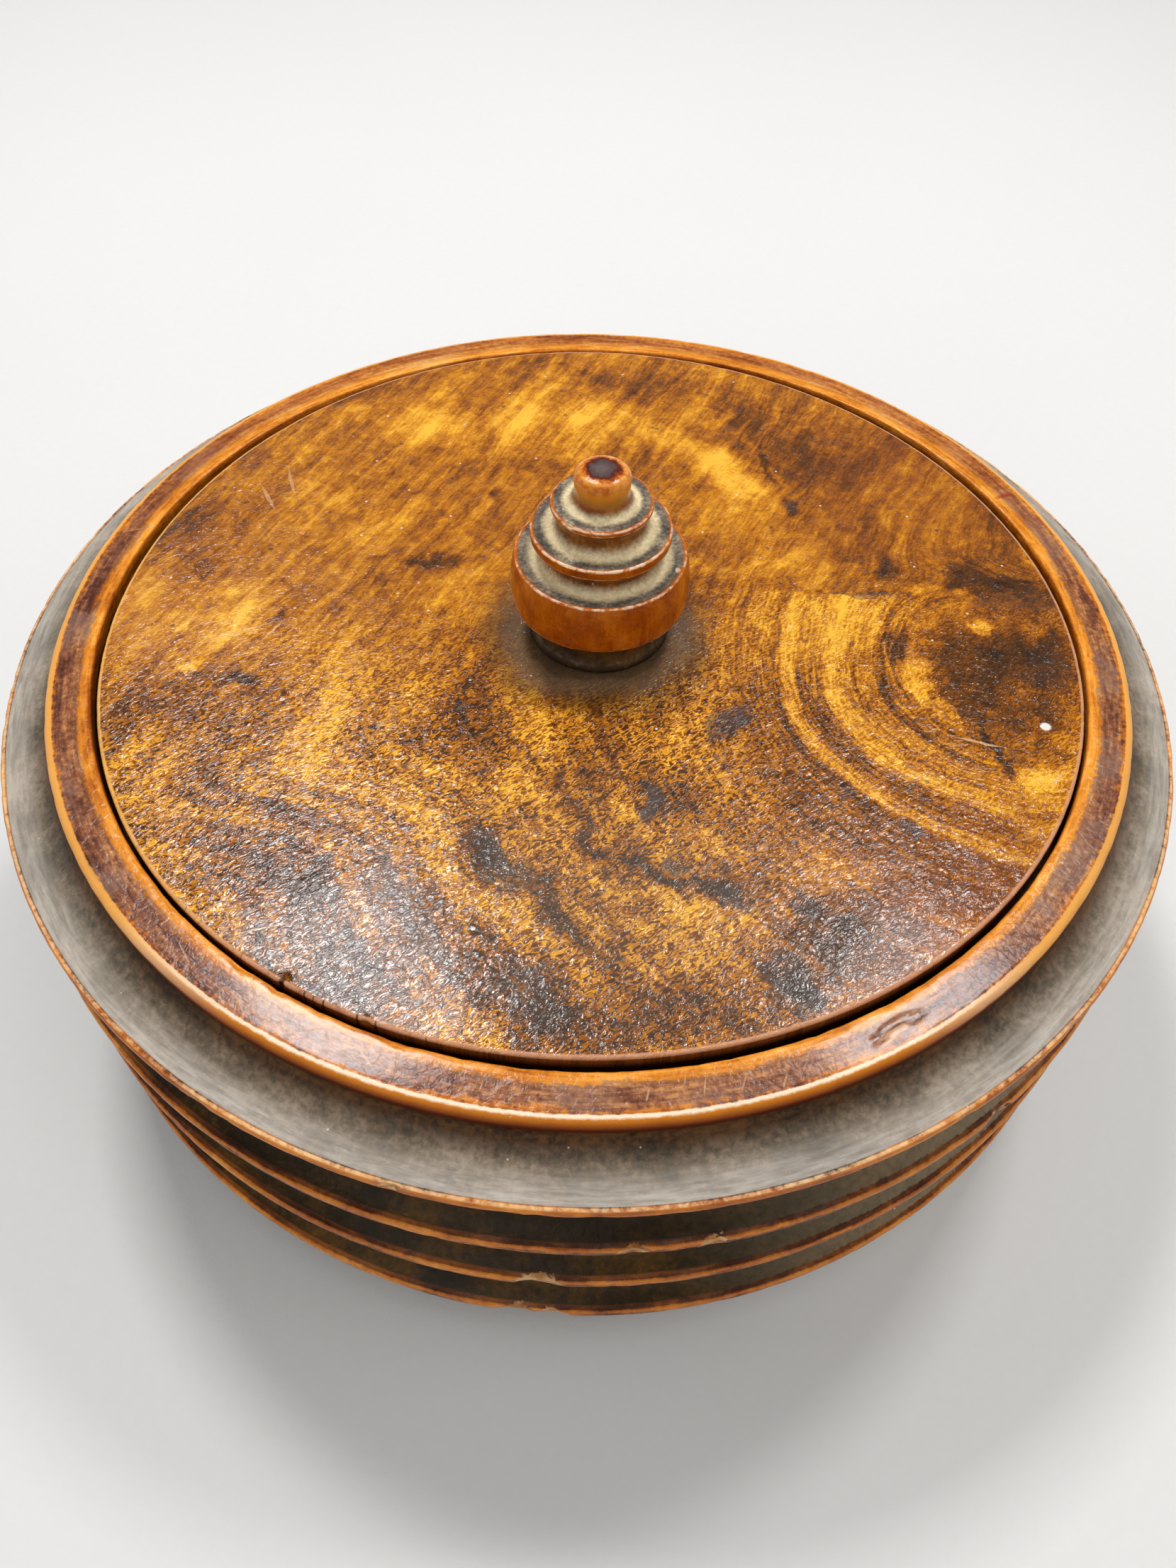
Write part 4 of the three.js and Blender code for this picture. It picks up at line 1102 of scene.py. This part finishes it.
# The press, its knob and the floor
def press_finish(name, at=(0.0, 0.0, 0.0), end_grain=False):
    """Press wood: plain grain darkened by tobacco, with crumbs pressed into it."""
    f = Finish(name, at, Roughness=0.5, IOR=1.42, Coat_Weight=0.05, Coat_Roughness=0.3)
    stretch = (1.0, 1.0, 0.1) if end_grain else (0.07, 1.0, 0.8)
    fibre = f.stretched(f.warped(f.place, 0.05, 3.0, 2.0), stretch, 0 if end_grain else 24)
    fine = f.noise(fibre, 1.6, 3, 0.6, 0.2, 1)
    coarse = f.noise(fibre, 0.3, 3, 0.6, 0.4, 2)
    patchy = f.noise(f.place, 0.07, 4, 0.65, 0.6, 3)
    freckle = f.noise(f.place, 1.2, 3, 0.6, 0.0, 4)
    ragged = f.minus(freckle, 0.5)
    wood = f.mixed(0.0, (fine, 0.45), (coarse, 0.5), (patchy, 0.25))
    colour = f.colours(wood, [(0.42, "#4d2c14"), (0.56, "#7a4b22"), (0.68, "#9c6830"), (0.8, "#b78244")])
    stain = f.band(patchy, 0.48, 0.68)
    colour = f.over(colour, "#3d2513", stain, 0.6)
    lip = f.band(f.mixed(f.mark("worn"), (ragged, 0.6)), 0.3, 0.8)
    colour = f.over(colour, "#b8752f", lip, 0.7)
    colour = f.over(colour, "#2a1a0e", f.band(f.mixed(f.mark("soot_and_shade"), (ragged, 0.4)), 0.3, 0.9), 0.8)
    crumbs = f.spots(f.stretched(f.place, (1.0, 0.5, 1.0), 30), 0.35, 0.16, 7.0)
    colour = f.over(colour, "#2f1c0c", crumbs, 0.8)
    gloss = f.mixed(0.40, (freckle, 0.15), (stain, 0.1), (lip, -0.08))
    relief = f.mixed(0.0, (fine, 0.9), (freckle, 0.4), (crumbs, 0.8))
    return f.finish(colour, gloss, [(f.noise(f.place, 0.2, 2, 0.5, 0, 31), 0.08), (relief, 0.06)])


def floor_finish():
    f = Finish("pale_floor", Roughness=0.75, IOR=1.4)
    grain = f.noise(f.place, 0.6, 3, 0.6, 0, 1)
    broad = f.noise(f.place, 0.01, 2, 0.5, 0, 2)
    colour = f.blend(f.mixed(0.0, (grain, 0.5), (broad, 0.5)), "#e2e1df", "#eae9e7")
    return f.finish(colour, 0.75, [(grain, 0.05)])


# Pieces
lid_top = FINIAL_PLACE + (BOX_HEIGHT,)
press_top = (0.0, 0.0, PRESS_TOP)
box = turned("box_turning", box_outline(), box_finish(),
             sides=480, wear=(0.2, 420.0, 4.0), reach=0.45)
lid = turned("lid_turning", lid_outline(), lid_finish(),
             sides=1200, wear=(0.06, 500.0, 9.0), reach=0.35, lobe=LID_LOBE)
finial = turned("finial_turning", finial_outline(), finial_finish(lid_top),
                sides=256, wear=(0.09, 600.0, 2.0), reach=0.3, at=lid_top)
press = turned("press_turning", press_outline(), press_finish("press_wood"),
               sides=256, wear=(0.12, 400.0, 6.0), reach=0.7)
press_knob = turned("press_knob_turning", press_knob_outline(),
                    press_finish("press_knob_wood", press_top, end_grain=True),
                    sides=128, wear=(0.06, 900.0, 3.0), reach=0.5)
knock(box, BOX_CHIPS + RIM_SCAR)
knock(lid, LID_DENTS)
knock(finial, FINIAL_CHIPS, axis=FINIAL_PLACE)
for ob, body, node, slot in ((box, "box", "box_body", "box_wood"),
                             (lid, "lid", "lid_disc", "lid_wood"),
                             (finial, "lid", "finial", "finial_wood"),
                             (press, "press", "tobacco_press", "press_wood"),
                             (press_knob, "press", "press_knob", "press_knob_wood")):
    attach(ob, body)
    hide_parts(node)

# Floor
sheet = bpy.data.meshes.new("floor")
sheet.from_pydata([(-4, -4, 0), (4, -4, 0), (4, 4, 0), (-4, 4, 0)], [], [(0, 1, 2, 3)])
sheet.materials.append(floor_finish())
placed("floor", sheet)

# Light
for name, towards, distance, side, power in LAMPS:
    lamp = bpy.data.lights.new(name, "AREA")
    lamp.shape = "RECTANGLE"
    lamp.size = lamp.size_y = side
    lamp.energy = power
    ob = placed(name, lamp)
    way = Vector(towards).normalized()
    ob.location = Vector(LAMP_AIM) + way * distance
    ob.rotation_mode = "QUATERNION"
    ob.rotation_quaternion = way.to_track_quat("Z", "Y")

world = bpy.data.worlds.new("studio")
bpy.context.scene.world = world
world.use_nodes = True
sky = Bench(world.node_tree)
_, _, high = sky.split(sky.add("ShaderNodeTexCoord").outputs["Generated"])
level = sky.band(high, 0.05, 0.55, SKY_LOW, SKY_HIGH)
sky.feed(world.node_tree.nodes["Background"].inputs["Color"], sky.join(level, level, level))

# Camera
lens = bpy.data.cameras.new("camera")
lens.sensor_width = SENSOR_WIDTH
lens.lens = LENS_LENGTH
lens.shift_x = LENS_SHIFT
lens.clip_start = 0.005
camera = placed("camera", lens)
axes = Matrix((CAMERA_RIGHT, CAMERA_UP, -Vector(CAMERA_FORWARD))).transposed()
camera.rotation_mode = "QUATERNION"
camera.rotation_quaternion = axes.to_quaternion()
camera.location = CAMERA_PLACE
bpy.context.scene.camera = camera
bpy.context.scene.view_settings.view_transform = "Standard"
